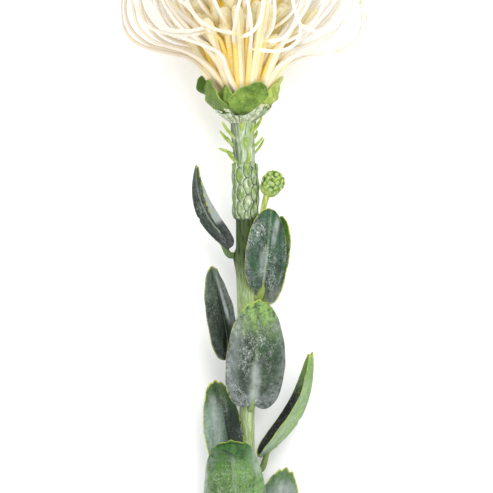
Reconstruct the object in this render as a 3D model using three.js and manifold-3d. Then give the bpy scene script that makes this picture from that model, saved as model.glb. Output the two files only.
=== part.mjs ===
// Pincushion protea: one cut flowering stem that lies on its bloom and its cut end.
// Millimetres. In the plant's own frame +Y runs up the stem to the bloom, +X is the right
// and +Z the front. The last lines lay the plant down, with +Z up off the surface.

import * as THREE from "three";
import { mergeVertices } from "three/addons/utils/BufferGeometryUtils.js";
import Module from "manifold-3d";

const wasm = await Module();
wasm.setup();

const { degToRad, lerp, smoothstep } = THREE.MathUtils;
const TURN = 2 * Math.PI;
const GOLDEN_TURN = Math.PI * (3 - Math.sqrt(5));

// How the plant lies
const TILT = degToRad(8.1);
const CUT_END_LIFT = 3.89;
const MIDDLE = { x: 0, y: 157.2 };
const SEAT_GAP = 0.35;
const SMALLEST_EDGE = 0.06;
const GRID = 0.004;

// The stem: height, sideways, radius
const STEM_TOP = 219.6;
const STEM_PROFILE = [
  [0, 1.8, 3.8],
  [66, 0.9, 3.5],
  [92, 0.9, 3.5],
  [161, 0, 4.1],
  [174, 0.1, 4.3],
  [178, 0.2, 5.2],
  [188, 0.4, 5.4],
  [198, 0, 5.2],
  [203, -0.3, 4.8],
  [216, -1.1, 5.3],
  [STEM_TOP, -1.1, 5.4],
];
const STEM_SIDES = 14;
const UPPER_STEM_SIDES = 28;
const LOWER_RING_STEP = 9;
const CUT_SLANT = 0.9;

// The scales that clasp the upper stem, and the flutes above them
const SCALES_FROM = 175.5;
const SCALES_TO = 201;
const SCALE_COLUMNS = 8;
const SCALE_PITCH = 7.7;
const SCALE_RELIEF = 1.0;
const SCALE_SHARE = { across: 0.31, up: 0.58 };
const FLUTES = 8;
const FLUTE_DEPTH = 0.28;

// The swelling of the stem under a leaf's foot: height, reach above and below, half width in radians
const CUSHION = { height: 1.5, above: 2.2, below: 6, width: 0.42 };

// Awl-shaped bractlets: turn in degrees from the front, height, length, lean in degrees
const BRACTLET_RADIUS = { foot: 1.15, tip: 0.3 };
const BRACTLET_ROOT = 1.2;
const BRACTLETS = [
  [-88, 212, 9.5, 38],
  [-80, 208.4, 9, 36],
  [-96, 205.6, 8, 62],
  [-62, 202, 8, 44],
  [58, 214.8, 8.6, 40],
  [98, 211.8, 5, 32],
  [76, 207.4, 7.6, 36],
  [90, 204.6, 9.2, 30],
  [-8, 213.4, 4, 30],
  [14, 209.5, 6, 26],
  [4, 202.6, 6.5, 24],
  [44, 213, 6, 28],
  [140, 213.5, 8, 34],
  [170, 208, 8, 36],
  [-150, 211, 8, 34],
  [-125, 206, 8, 38],
  [150, 204, 7, 36],
];

// The cup under the bloom. Its wall, from the foot outside to the floor inside: radius, rise, torn edge
const HEAD_X = -0.4;
const CUP_X = -1.6;
const CUP_FOOT = STEM_TOP + SEAT_GAP;
const CUP_RADIUS = 12.6;
const CUP_SIDES = 24;
const CUP_WALL = [
  [5.6, 0, 0],
  [7.6, 1, 0],
  [CUP_RADIUS, 5.4, 0.5],
  [CUP_RADIUS + 0.8, 7.8, 1.6],
  [CUP_RADIUS - 0.3, 7.6, 1.6],
  [10, 6.2, 0.3],
  [6, 5.4, 0],
];

// The bloom: where its styles start, how wide their cone opens, and their number and size
const STYLE_FOOT = 234;
const STYLE_FOOT_RADIUS = 12;
const STYLE_CONE = 0.687;
const STYLES = 54;
const RESTING_TURNS = [-42, -30, -18, -6, 6, 18, 30, 42];
const STYLE_LENGTH = 75;
const STYLE_ELBOW = 9;
const STYLE_POINTS = 26;
const STYLE_STEPS = 9;
const FRONT_STYLE_STEPS = 12;
const STYLE_SIDES = 4;
const STYLE_RADIUS = { foot: 1.5, tip: 0.72 };
const PEGS = 62;
const PEG_RADIUS = 2.7;
const PEG_LENGTH = 9.5;
const PEG_HEIGHTS = { low: 248, high: 296 };
const CORE_SIDES = 20;

// The part of the bloom that lies on the surface is pressed flat
const PRESS_LEVEL = -0.4;
const PRESS_SOFTNESS = 4;

// The core of the bloom, which styles and perianths stand out of: height and radius
const CORE = [
  [226.3, 4],
  [227.6, 8.2],
  [234, 10.2],
  [244, 12.5],
  [254, 15],
  [264, 17],
  [274, 17],
  [284, 14.5],
  [292, 10],
  [296, 4],
];

// Bracts of the cup. turn and lean: degrees round the axis at the middle, and from foot to
// tip. belly: how far the bract stands out of the cup. nod: how far its tip comes back in.
// flare: above 0 the bract is widest near its tip, below 0 near its foot.
const BRACT_THICKNESS = 0.9;
const BRACT_ANGLES = 12;
const BRACTS = [
  { turn: 7, foot: 223.6, width: 17.5, length: 14.6, belly: 5.5, nod: 3.6, flare: 0.12, lean: 20 },
  { turn: -34, foot: 226.4, width: 9, length: 10.6, belly: 5, nod: 0.5, flare: -0.3, lean: 6 },
  { turn: -68, foot: 224.4, width: 15.5, length: 15, belly: 8.2, nod: 1, flare: -0.12, lean: -8 },
  { turn: -108, foot: 226.6, width: 12, length: 17.4, belly: 6, nod: -1, flare: -0.1, lean: -6 },
  { turn: 72, foot: 226.2, width: 12, length: 16.2, belly: 6, nod: 0.2, flare: -0.3, lean: 8 },
  { turn: 116, foot: 225, width: 15, length: 14, belly: 6.4, nod: 1.5, flare: 0.1, lean: -10 },
  { turn: 161, foot: 225.4, width: 15, length: 14.5, belly: 6, nod: 1, flare: -0.2, lean: 12 },
  { turn: -154, foot: 225, width: 16, length: 14, belly: 6.6, nod: 1, flare: 0.1, lean: 8 },
];

// The side bud
const BUD = { x: 13, y: 192.2, z: 3.4, radius: 4.9, bumps: 54, bumpWidth: 0.26, relief: 0.6 };
const BUD_STALK = { turn: 72, height: 170.4, radius: 1.15 };

// Leaves. foot: turn in degrees and height on the stem. base and tip: the notch and the
// tip of the blade. faces: where the blade's open side looks. fold and roll: the slope in
// degrees of each half at the midrib and at the margin. bow: how far the middle stands
// out of the line from base to tip. twist: the turn in degrees from base to tip, half of
// it each way from the middle. nod: how far the tip is turned over.
const LEAF_THICKNESS = { middle: 1.5, margin: 0.8 };
const LEAF_MIDDLE = 0.42;
const LEAF_TAPER = 0.12;
const LEAF_TOOTH = 0.6;
const TOOTH_STEP = 0.17;
const PETIOLE_RADIUS = 1.5;
const LEAVES = [
  {
    name: "leaf_top_left", foot: [-82, 158.5], base: [-9.2, 162.5, 2.5], tip: [-22.6, 199.6, 6],
    faces: [0.9, 0.35, 0.1], width: 18, fold: 42, roll: 70, bow: -7, twist: 34, lobe: 2.5, nod: 0,
  },
  {
    name: "leaf_top_right", foot: [62, 139], base: [8.6, 147, 8.2], tip: [11, 180.2, 11.5],
    faces: [0.05, -0.1, 1], width: 19, fold: 10, roll: -30, bow: 2.5, twist: 0, lobe: 5.5, nod: 0,
  },
  {
    name: "leaf_top_right_rear", foot: [112, 132], base: [9, 139.5, -7], tip: [17, 176.4, -6],
    faces: [-0.2, 0.1, 1], width: 17.5, fold: 12, roll: 35, bow: -2, twist: 0, lobe: 4.5, nod: 0,
  },
  {
    name: "leaf_upper_left", foot: [-72, 107], base: [-7.6, 113.2, 4.5], tip: [-15.2, 153.2, 8.5],
    faces: [-0.25, 0.05, 1], width: 17, fold: 36, roll: 44, bow: -3.5, twist: 0, lobe: 3.5, nod: 0,
  },
  {
    name: "leaf_middle_front", foot: [18, 88], base: [3.7, 93.4, 10], tip: [6.6, 138, 14.5],
    faces: [0, 0.05, 1], width: 28.4, fold: 8, roll: -38, bow: 3.5, twist: 0, lobe: 8, nod: 0,
  },
  {
    name: "leaf_middle_rear", foot: [176, 90], base: [1.6, 95.5, -8], tip: [3, 134, -13],
    faces: [0, 0.1, 1], width: 21, fold: 18, roll: 30, bow: -2.5, twist: 0, lobe: 5.5, nod: 0,
  },
  {
    name: "leaf_lower_left", foot: [-68, 57.5], base: [-7.4, 64, 3.5], tip: [-13.6, 100.8, 2.5],
    faces: [-0.12, 0.1, 1], width: 21, fold: 30, roll: 36, bow: -3.5, twist: 0, lobe: 4.5, nod: 0,
  },
  {
    name: "leaf_lower_right", foot: [84, 60], base: [8.8, 66.2, 1], tip: [30.8, 113.4, 4],
    faces: [-0.8, 0.35, 0.42], width: 20, fold: 44, roll: 62, bow: -8.6, twist: 0, lobe: 2.5, nod: 0,
  },
  {
    name: "leaf_bottom_front", foot: [-14, 26], base: [-3.4, 31.5, 10], tip: [-6.8, 77.5, 14],
    faces: [0, 0.05, 1], width: 29.5, fold: 8, roll: -36, bow: 3.5, twist: 0, lobe: 8, nod: 3.5,
  },
  {
    name: "leaf_bottom_right", foot: [84, 14], base: [10.4, 20, 3.5], tip: [19, 60.4, 6.5],
    faces: [-0.1, 0.1, 1], width: 23, fold: 16, roll: 30, bow: -3, twist: 0, lobe: 4.5, nod: 0,
  },
  {
    name: "leaf_bottom_rear", foot: [208, 27], base: [-0.4, 33, -5.9], tip: [-3, 72, -9.2],
    faces: [0, 0.1, 1], width: 21, fold: 10, roll: 18, bow: 0, twist: 0, lobe: 4.5, nod: 0,
  },
];

// Styles placed as they are seen from the front, each through points of its path
const FRONT_STYLES = [
  [
    [-11, 234, 4], [-18.5, 243, 6], [-24.8, 249, 7], [-33.4, 251.3, 8], [-46.5, 254.4, 8],
    [-53.8, 259.2, 7], [-57.2, 267, 5], [-57.2, 275, 3], [-54.5, 284, 1],
  ],
  [
    [-10, 234, -3], [-19, 245, -6], [-30, 251.5, -9], [-44.6, 255.8, -12], [-52.4, 262.4, -13],
    [-55.2, 270, -13], [-54.7, 277, -12], [-51, 286, -10],
  ],
  [
    [-8, 234, 8], [-16.5, 245, 12], [-26, 251.6, 15], [-41, 256.5, 17], [-48.5, 263, 16],
    [-51.2, 271, 14], [-51.5, 279, 11], [-48, 288, 8],
  ],
  [
    [-4, 234, 11], [-7.5, 241, 14], [-11, 250.6, 18], [-19.5, 255, 23], [-29.7, 258.8, 28],
    [-37, 264, 30], [-40.5, 270.7, 30], [-41.8, 279, 28],
  ],
  [
    [-6.5, 234, 9.5], [-13, 248, 16], [-25, 261, 26], [-34.5, 273, 35], [-38, 284, 42],
    [-33.4, 277.5, 47], [-26.5, 272, 50], [-21.5, 266.2, 51], [-13.8, 261.7, 51], [-1.6, 259.2, 49],
  ],
  [
    [3, 234, 11], [5.5, 250, 18], [9, 264, 28], [12, 278, 37], [11.4, 288.5, 44], [8.6, 280.5, 49],
    [7.1, 267.7, 50], [3.8, 260.8, 49], [-2.3, 257.6, 46],
  ],
  [
    [7.5, 234, 9], [13, 249, 15], [21, 262, 25], [26, 276, 34], [24.5, 288, 41], [21.4, 279.5, 46],
    [22.6, 270, 47.5], [25.4, 262.6, 48], [23.2, 255.2, 48], [16.5, 251.8, 48], [2.2, 252.6, 46],
  ],
  [
    [10, 234, 4], [16, 243, 6], [22, 249.4, 7], [32.7, 251.8, 8], [44.2, 251.4, 8], [51, 255.1, 7],
    [55.2, 260.8, 6], [57.2, 269.8, 4],
  ],
  [
    [9.5, 234, -5], [17, 244.5, -8], [28, 250, -12], [42, 252.6, -15], [51, 258, -17], [54.5, 267, -17],
    [53.5, 277, -15],
  ],
  [
    [8.5, 234, 7], [15.5, 245, 12], [24, 250.6, 17], [34, 254.2, 22], [42, 261, 25], [46.6, 269, 25],
    [48.2, 278, 22],
  ],
];

// A draw between 0 and 1 that is the same each time for the same two numbers.
function draw(item, use) {
  const spread = Math.sin(item * 12.9898 + use * 78.233) * 43758.5453;
  return spread - Math.floor(spread);
}

// The value at x on rows of [x, value], eased between one row and the next.
function along(rows, x, column) {
  const next = rows.findIndex((row) => row[0] > x);
  if (next === 0) return rows[0][column];
  if (next < 0) return rows[rows.length - 1][column];
  const [low, high] = [rows[next - 1], rows[next]];
  return lerp(low[column], high[column], smoothstep(x, low[0], high[0]));
}

// The outward direction at a turn round the plant's axis, from the front towards the right.
function outward(turn) {
  return new THREE.Vector3(Math.sin(turn), 0, Math.cos(turn));
}

function geometryOf(points, triangles) {
  const geometry = new THREE.BufferGeometry();
  const numbers = points.flatMap((point) => point.toArray());
  geometry.setAttribute("position", new THREE.Float32BufferAttribute(numbers, 3));
  geometry.setIndex(triangles.flat());
  return geometry;
}

// A closed skin over rings of points that run up a path, each end closed on its middle.
function sleeve(rings) {
  const sides = rings[0].length;
  const middleOf = (ring) => ring.reduce((sum, p) => sum.add(p), new THREE.Vector3()).divideScalar(sides);
  const points = [...rings.flat(), middleOf(rings[0]), middleOf(rings[rings.length - 1])];
  const foot = rings.length * sides;
  const last = foot - sides;
  const triangles = [];
  for (let j = 0; j < sides; j++) {
    const k = (j + 1) % sides;
    for (let i = 0; i < last; i += sides) {
      triangles.push([i + j, i + k, i + sides + k], [i + j, i + sides + k, i + sides + j]);
    }
    triangles.push([foot, k, j], [foot + 1, last + j, last + k]);
  }
  return geometryOf(points, triangles);
}

// A tapered tube along a curve. radiusAt takes the share of the length gone by.
function tube(curve, steps, sides, radiusAt) {
  const frames = curve.computeFrenetFrames(steps, false);
  const rings = [];
  for (let i = 0; i <= steps; i++) {
    const middle = curve.getPointAt(i / steps);
    const radius = radiusAt(i / steps);
    rings.push(
      Array.from({ length: sides }, (_, j) => {
        const angle = (j / sides) * TURN;
        return middle
          .clone()
          .addScaledVector(frames.normals[i], radius * Math.cos(angle))
          .addScaledVector(frames.binormals[i], radius * Math.sin(angle));
      }),
    );
  }
  return sleeve(rings);
}

// A plate with two faces alike. outline lists angles, and place takes a share of the way
// to the rim, an angle and a side of 1 or -1, and gives the point on that face.
function plate(outline, shares, place) {
  const count = outline.length;
  const points = [];
  for (const side of [1, -1]) {
    points.push(place(0, 0, side));
    for (const share of shares) points.push(...outline.map((angle) => place(share, angle, side)));
  }
  const back = points.length / 2;
  const rim = 1 + (shares.length - 1) * count;
  const triangles = [];
  for (let j = 0; j < count; j++) {
    const k = (j + 1) % count;
    const face = [[0, 1 + j, 1 + k]];
    for (let i = 1; i < rim; i += count) {
      face.push([i + j, i + count + j, i + count + k], [i + j, i + count + k, i + k]);
    }
    triangles.push(...face);
    triangles.push(...face.map(([a, b, c]) => [back + a, back + c, back + b]));
    triangles.push([rim + j, back + rim + j, back + rim + k], [rim + j, back + rim + k, rim + k]);
  }
  return geometryOf(points, triangles);
}

function solidOf(geometry) {
  const bare = geometry.clone();
  bare.deleteAttribute("normal");
  bare.deleteAttribute("uv");
  const merged = mergeVertices(bare, 1e-4);
  return new wasm.Manifold(
    new wasm.Mesh({
      numProp: 3,
      vertProperties: merged.attributes.position.array,
      triVerts: new Uint32Array(merged.index.array),
    }),
  );
}

// The solid with its points on a fine grid and its shortest edges closed up.
function tidied(solid) {
  const onGrid = (point) => {
    for (let i = 0; i < 3; i++) point[i] = Math.round(point[i] / GRID) * GRID;
  };
  return solid.warp(onGrid).asOriginal().simplify(SMALLEST_EDGE);
}

// All geometries joined in one solid, with hollows filled and loose scraps dropped.
function joined(geometries, finish = (solid) => solid) {
  const whole = tidied(tidied(finish(geometries.map(solidOf).reduce((sum, one) => sum.add(one)))));
  const bodies = whole.decompose();
  const largest = bodies.reduce((best, body) => (body.volume() > best.volume() ? body : best));
  const { vertProperties, triVerts, numProp } = largest.getMesh();
  const positions = [];
  for (let i = 0; i < vertProperties.length; i += numProp) {
    positions.push(...vertProperties.slice(i, i + 3));
  }
  const geometry = new THREE.BufferGeometry();
  geometry.setAttribute("position", new THREE.Float32BufferAttribute(positions, 3));
  geometry.setIndex([...triVerts]);
  return geometry;
}

function named(name, geometry, colour, roughness) {
  const material = new THREE.MeshStandardMaterial({ color: colour, roughness, metalness: 0 });
  const mesh = new THREE.Mesh(geometry, material);
  mesh.name = name;
  return mesh;
}

// How high a point of the plant is above the surface that the plant lies on.
function heightOf(point) {
  return point.y * Math.sin(TILT) + point.z * Math.cos(TILT) + CUT_END_LIFT;
}

// A point of the bloom near or below the surface is pushed up towards it, so that the
// styles there lie in a flattened layer.
function pressed(point) {
  const height = heightOf(point) - PRESS_LEVEL;
  const lifted = (height + Math.hypot(height, PRESS_SOFTNESS)) / 2;
  const up = new THREE.Vector3(0, Math.sin(TILT), Math.cos(TILT));
  return point.clone().addScaledVector(up, lifted - height);
}

// Domes in staggered columns, 0 in the grooves between scales and 1 on their crests.
function scaleDome(turn, height) {
  const column = (turn / TURN) * SCALE_COLUMNS;
  const row = (height - SCALES_FROM) / SCALE_PITCH;
  let dome = 0;
  for (const stagger of [0, 1]) {
    const across = (column - stagger) / 2 - Math.round((column - stagger) / 2);
    const up = row - stagger / 2 - Math.round(row - stagger / 2);
    const away = (across / SCALE_SHARE.across) ** 2 + (up / SCALE_SHARE.up) ** 2;
    dome = Math.max(dome, Math.sqrt(Math.max(0, 1 - away)));
  }
  return dome;
}

// The swelling under each leaf's foot: sharp above it, and running down the stem below.
function leafCushion(turn, height) {
  let swelling = 0;
  for (const { foot } of LEAVES) {
    const away = turn - degToRad(foot[0]);
    const apart = Math.atan2(Math.sin(away), Math.cos(away));
    const above = height - foot[1];
    const fade = Math.exp(-((above / (above > 0 ? CUSHION.above : CUSHION.below)) ** 2));
    swelling = Math.max(swelling, CUSHION.height * fade * Math.exp(-((apart / CUSHION.width) ** 2)));
  }
  return swelling;
}

function stemRadius(turn, height) {
  const plain = along(STEM_PROFILE, height, 2) + leafCushion(turn, height);
  if (height > SCALES_FROM && height < SCALES_TO) return plain + SCALE_RELIEF * scaleDome(turn, height);
  if (height >= SCALES_TO) return plain + FLUTE_DEPTH * Math.cos(FLUTES * turn);
  return plain;
}

// A point on the stem's surface, or off it by more or less radius.
function onStem(turn, height, off = 0) {
  const middle = new THREE.Vector3(along(STEM_PROFILE, height, 1), height, 0);
  return middle.addScaledVector(outward(turn), stemRadius(turn, height) + off);
}

function stemRings(heights, sides) {
  return heights.map((height) =>
    Array.from({ length: sides }, (_, j) => {
      const turn = (j / sides) * TURN;
      const cut = height === 0 ? CUT_SLANT * Math.cos(turn) : 0;
      return onStem(turn, height + cut);
    }),
  );
}

function bractlet([degrees, height, length, lean]) {
  const turn = degToRad(degrees);
  const foot = onStem(turn, height, -BRACTLET_ROOT);
  const out = outward(turn);
  const slope = degToRad(lean);
  const point = (far, more) =>
    foot
      .clone()
      .addScaledVector(out, far * Math.sin(slope) + more)
      .add(new THREE.Vector3(0, far * Math.cos(slope), 0));
  const reach = length + BRACTLET_ROOT;
  const curve = new THREE.CatmullRomCurve3([foot, point(reach * 0.5, 0.6), point(reach, 0)]);
  return tube(curve, 3, 4, (share) => lerp(BRACTLET_RADIUS.foot, BRACTLET_RADIUS.tip, share ** 1.5));
}

function leafNear(height) {
  return LEAVES.some(({ foot }) => Math.abs(foot[1] - 1 - height) < 5);
}

function stem() {
  const lower = [];
  for (let height = 0; height < SCALES_FROM - 2; height += LOWER_RING_STEP / 2) lower.push(height);
  const kept = lower.filter((height, i) => i % 2 === 0 || leafNear(height));
  const upper = [SCALES_FROM - 3];
  for (let height = SCALES_FROM; height < SCALES_TO; height += SCALE_PITCH / 6) upper.push(height);
  for (let height = SCALES_TO + 1; height < STEM_TOP; height += 5) upper.push(height);
  upper.push(STEM_TOP);
  const skins = [
    sleeve(stemRings([...kept, SCALES_FROM + 1], STEM_SIDES)),
    sleeve(stemRings(upper, UPPER_STEM_SIDES)),
    ...BRACTLETS.map(bractlet),
  ];
  return named("stem", joined(skins), 0x8fa878, 0.6);
}

// The outline's angles: even steps round the blade, and close steps for the teeth.
function leafOutline() {
  const tip = Math.PI / 2;
  const rest = TURN - 6 * TOOTH_STEP;
  const teeth = [-2, -1, 0, 1, 2].map((k) => tip + k * TOOTH_STEP);
  const round = Array.from({ length: 17 }, (_, k) => tip + 3 * TOOTH_STEP + (k / 16) * rest);
  return [...teeth, ...round];
}

// Where an angle and a share of the way to the rim lie on the blade laid out flat:
// an ellipse that is widest below its middle, lobes beside the notch, and teeth at the tip.
function leafFlat(leaf, length, share, angle) {
  const across = (leaf.width / 2) * Math.cos(angle) * (1 - LEAF_TAPER * Math.sin(angle));
  const reach = Math.sin(angle) > 0 ? (1 - LEAF_MIDDLE) * length : LEAF_MIDDLE * length;
  const fromNotch = Math.abs(Math.atan2(Math.cos(angle), -Math.sin(angle)));
  const lobe = leaf.lobe * Math.sin(Math.PI * Math.min(fromNotch / 1.25, 1));
  const fromTip = Math.PI - fromNotch;
  const tooth = fromTip < 2.5 * TOOTH_STEP ? LEAF_TOOTH * Math.cos((fromTip / TOOTH_STEP) * Math.PI) : 0;
  const rim = share ** 6 * tooth;
  return [share * across, LEAF_MIDDLE * length + share * (reach * Math.sin(angle) - lobe) + rim];
}

// The blade bent out of the flat: each half slopes from fold at the midrib to roll at the
// margin, the whole bows along its length, and the tip nods over.
function leafBent(leaf, length, across, up) {
  const half = leaf.width / 2;
  const from = degToRad(leaf.fold);
  const turning = degToRad(leaf.roll - leaf.fold) / half;
  const slope = from + turning * Math.abs(across);
  const sideways = (Math.sin(slope) - Math.sin(from)) / turning;
  const share = up / length;
  const nod = leaf.nod * smoothstep(share, 0.8, 1) ** 2;
  const channel = (Math.cos(from) - Math.cos(slope)) / turning;
  const bow = 4 * leaf.bow * share * (1 - share);
  const section = new THREE.Vector3(Math.sign(across) * sideways, 0, channel);
  section.applyAxisAngle(new THREE.Vector3(0, 1, 0), degToRad(leaf.twist) * (share - 0.5));
  return section.add(new THREE.Vector3(0, up - nod, bow + nod));
}

function leafPoint(leaf, frame, length, share, angle, side) {
  const [across, up] = leafFlat(leaf, length, share, angle);
  const step = 0.05;
  const east = leafBent(leaf, length, across + step, up).sub(leafBent(leaf, length, across - step, up));
  const north = leafBent(leaf, length, across, up + step).sub(leafBent(leaf, length, across, up - step));
  const thickness = lerp(LEAF_THICKNESS.middle, LEAF_THICKNESS.margin, Math.sqrt(share));
  const point = leafBent(leaf, length, across, up);
  point.addScaledVector(east.cross(north).normalize(), (side * thickness) / 2);
  return point.applyMatrix4(frame);
}

// The blade's own frame: Y from base to tip and Z to the side that it faces.
function leafFrame(leaf) {
  const base = new THREE.Vector3(...leaf.base);
  const up = new THREE.Vector3(...leaf.tip).sub(base).normalize();
  const right = new THREE.Vector3().crossVectors(up, new THREE.Vector3(...leaf.faces)).normalize();
  const facing = new THREE.Vector3().crossVectors(right, up);
  return new THREE.Matrix4().makeBasis(right, up, facing).setPosition(base);
}

function leaf(shape) {
  const frame = leafFrame(shape);
  const length = new THREE.Vector3(...shape.base).distanceTo(new THREE.Vector3(...shape.tip));
  const place = (share, angle, side) => leafPoint(shape, frame, length, share, angle, side);
  const blade = plate(leafOutline(), [0.55, 1], place);
  const turn = degToRad(shape.foot[0]);
  const onMidrib = (up) => {
    const point = leafBent(shape, length, 0, up).applyMatrix4(frame);
    const inwards = new THREE.Vector3(-point.x, 0, -point.z).normalize();
    return point.addScaledVector(inwards, 0.5 * PETIOLE_RADIUS);
  };
  const path = [
    onStem(turn, shape.foot[1], SEAT_GAP),
    onStem(turn, shape.foot[1] + 0.3, SEAT_GAP + 1.4),
    onMidrib(0.06 * length),
    onMidrib(0.2 * length),
  ];
  const thin = (share) => PETIOLE_RADIUS * lerp(1, 0.5, smoothstep(share, 0.5, 1));
  const petiole = tube(new THREE.CatmullRomCurve3(path), 5, 5, thin);
  return named(shape.name, joined([blade, petiole]), 0x4a6b4e, 0.45);
}

// A ball whose skin rises in even bumps, on a bent stalk.
function sideBud() {
  const ball = new THREE.IcosahedronGeometry(BUD.radius, 5);
  const place = ball.getAttribute("position");
  const crests = Array.from({ length: BUD.bumps }, (_, i) => {
    const level = 1 - (2 * i + 1) / BUD.bumps;
    const ring = Math.sqrt(1 - level * level);
    return new THREE.Vector3(ring * Math.cos(i * GOLDEN_TURN), level, ring * Math.sin(i * GOLDEN_TURN));
  });
  for (let i = 0; i < place.count; i++) {
    const way = new THREE.Vector3().fromBufferAttribute(place, i).normalize();
    const nearest = Math.min(...crests.map((crest) => crest.distanceTo(way)));
    const rise = BUD.relief * Math.cos(Math.min(nearest / BUD.bumpWidth, 1) * (Math.PI / 2));
    way.multiplyScalar(BUD.radius + rise);
    place.setXYZ(i, BUD.x + way.x, BUD.y + way.y, BUD.z + way.z);
  }
  const turn = degToRad(BUD_STALK.turn);
  const path = [
    onStem(turn, BUD_STALK.height, SEAT_GAP),
    onStem(turn, BUD_STALK.height, SEAT_GAP + 1.6),
    new THREE.Vector3(9.6, 177.6, 3),
    new THREE.Vector3(11.2, 185.5, 3),
    new THREE.Vector3(BUD.x - 1, BUD.y - 2, BUD.z),
  ];
  const flared = (share) => BUD_STALK.radius * (1 + 0.7 * share ** 3);
  const stalk = tube(new THREE.CatmullRomCurve3(path), 6, 6, flared);
  return named("side_bud", joined([ball, stalk]), 0x86ac52, 0.55);
}

// The shallow cup under the bloom: its outer wall, a torn rim, and its inner floor.
function cup() {
  const rings = CUP_WALL.map(([radius, rise, torn]) =>
    Array.from({ length: CUP_SIDES }, (_, j) => {
      const turn = (j / CUP_SIDES) * TURN;
      const tear = torn * (draw(j, 3) - 0.5);
      const centre = new THREE.Vector3(lerp(CUP_X, HEAD_X, rise / 8), CUP_FOOT + rise + tear, 0);
      return centre.addScaledVector(outward(turn), radius);
    }),
  );
  return sleeve(rings);
}

// The least distance from the axis at which a bract clears the styles at a height.
function clearOfStyles(height) {
  const cone = STYLE_FOOT_RADIUS + 1.9 + STYLE_CONE * (height - STYLE_FOOT);
  return Math.max(cone, 11.2);
}

// A bract: it rises out of the cup's wall, bellies out, and its edge waves.
function bract({ turn, foot, width, length, belly, nod, flare, lean }) {
  const angles = Array.from({ length: BRACT_ANGLES }, (_, k) => (k / BRACT_ANGLES) * TURN + Math.PI / 2);
  const place = (share, angle, side) => {
    const rise = 0.45 + 0.55 * share * Math.sin(angle) * (Math.sin(angle) > 0 ? 1 : 0.82);
    const across = (width / 2) * share * Math.cos(angle) * (1 + flare * Math.sin(angle));
    const height = foot + length * rise;
    const wave = 0.7 * share ** 2 * Math.sin(3 * angle + turn);
    const spread = CUP_RADIUS - 1.4 + belly * smoothstep(rise, 0, 0.45) - nod * rise ** 3 + wave;
    const radius = Math.max(spread, clearOfStyles(height)) + (side * BRACT_THICKNESS) / 2 + 0.5;
    const heading = degToRad(turn + lean * (rise - 0.5)) + across / radius;
    return new THREE.Vector3(HEAD_X, height, 0).addScaledVector(outward(heading), radius);
  };
  return plate(angles, [0.5, 1], place);
}

function involucre() {
  return named("involucre", joined([cup(), ...BRACTS.map(bract)]), 0x6f9a48, 0.55);
}

// A style of the bloom. It leaves the core in a cone, bends outwards at an elbow, then
// curls up and in. rim is 0 for the middle one and 1 for the outermost.
function stylePath(item, rim, heading) {
  const vary = (use, amount) => (draw(item, use) - 0.5) * 2 * amount;
  const slopes = [4 + 29 * rim ** 2, 22 + 58 * rim + vary(1, 4), -22 + 4 * rim + vary(2, 14)].map(degToRad);
  const straight = 37 - 21 * rim;
  const length = STYLE_LENGTH + vary(3, 3);
  const stepLength = length / STYLE_POINTS;
  const place = { radius: (STYLE_FOOT_RADIUS - 0.5) * rim, height: STYLE_FOOT + 12 * (1 - rim) };
  const points = [];
  for (let step = 0; step <= STYLE_POINTS; step++) {
    const gone = step * stepLength;
    const curl = smoothstep(gone, straight + STYLE_ELBOW * 0.5, length * 1.05);
    const bend = lerp(slopes[0], slopes[1], smoothstep(gone, straight, straight + STYLE_ELBOW));
    const slope = lerp(bend, slopes[2], curl);
    const turn = heading + vary(4, 0.08) + vary(5, 0.34) * (gone / length) ** 2;
    const point = new THREE.Vector3(HEAD_X, place.height, 0).addScaledVector(outward(turn), place.radius);
    if (step % 2 === 0) points.push(pressed(point));
    place.radius += Math.sin(slope) * stepLength;
    place.height += Math.cos(slope) * stepLength;
  }
  return points;
}

function style(points, steps) {
  const curve = new THREE.CatmullRomCurve3(points, false, "centripetal");
  const radius = (share) => lerp(STYLE_RADIUS.foot, STYLE_RADIUS.tip, smoothstep(share, 0, 0.5));
  return tube(curve, steps, STYLE_SIDES, radius);
}

// A rolled perianth: a short fat peg that stands out of the core's dome.
function peg(item) {
  const share = (item + 0.5) / PEGS;
  const height = lerp(PEG_HEIGHTS.low, PEG_HEIGHTS.high, share ** 0.9);
  const turn = item * GOLDEN_TURN + 0.7;
  const radius = along(CORE, height, 1);
  const lean = lerp(degToRad(62), degToRad(10), share);
  const way = outward(turn).multiplyScalar(Math.sin(lean)).add(new THREE.Vector3(0, Math.cos(lean), 0));
  const foot = new THREE.Vector3(HEAD_X, height, 0).addScaledVector(outward(turn), radius * 0.82);
  const length = PEG_LENGTH * (0.85 + 0.3 * draw(item, 6));
  const end = foot.clone().addScaledVector(way, length);
  const swell = (part) => PEG_RADIUS * (0.62 + 0.38 * Math.sin(Math.PI * Math.min(part + 0.12, 1)));
  return tube(new THREE.LineCurve3(foot, end), 2, 5, swell);
}

function core() {
  const rings = CORE.map(([height, radius]) =>
    Array.from({ length: CORE_SIDES }, (_, j) =>
      new THREE.Vector3(HEAD_X, height, 0).addScaledVector(outward((j / CORE_SIDES) * TURN), radius),
    ),
  );
  return sleeve(rings);
}

// The half space above the surface, in the plant's frame, as a large slab.
function aboveSurface() {
  const slab = new THREE.BoxGeometry(400, 900, 400).translate(0, 0, 200);
  slab.translate(0, 0, -CUT_END_LIFT);
  slab.rotateX(-TILT);
  return slab;
}

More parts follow.
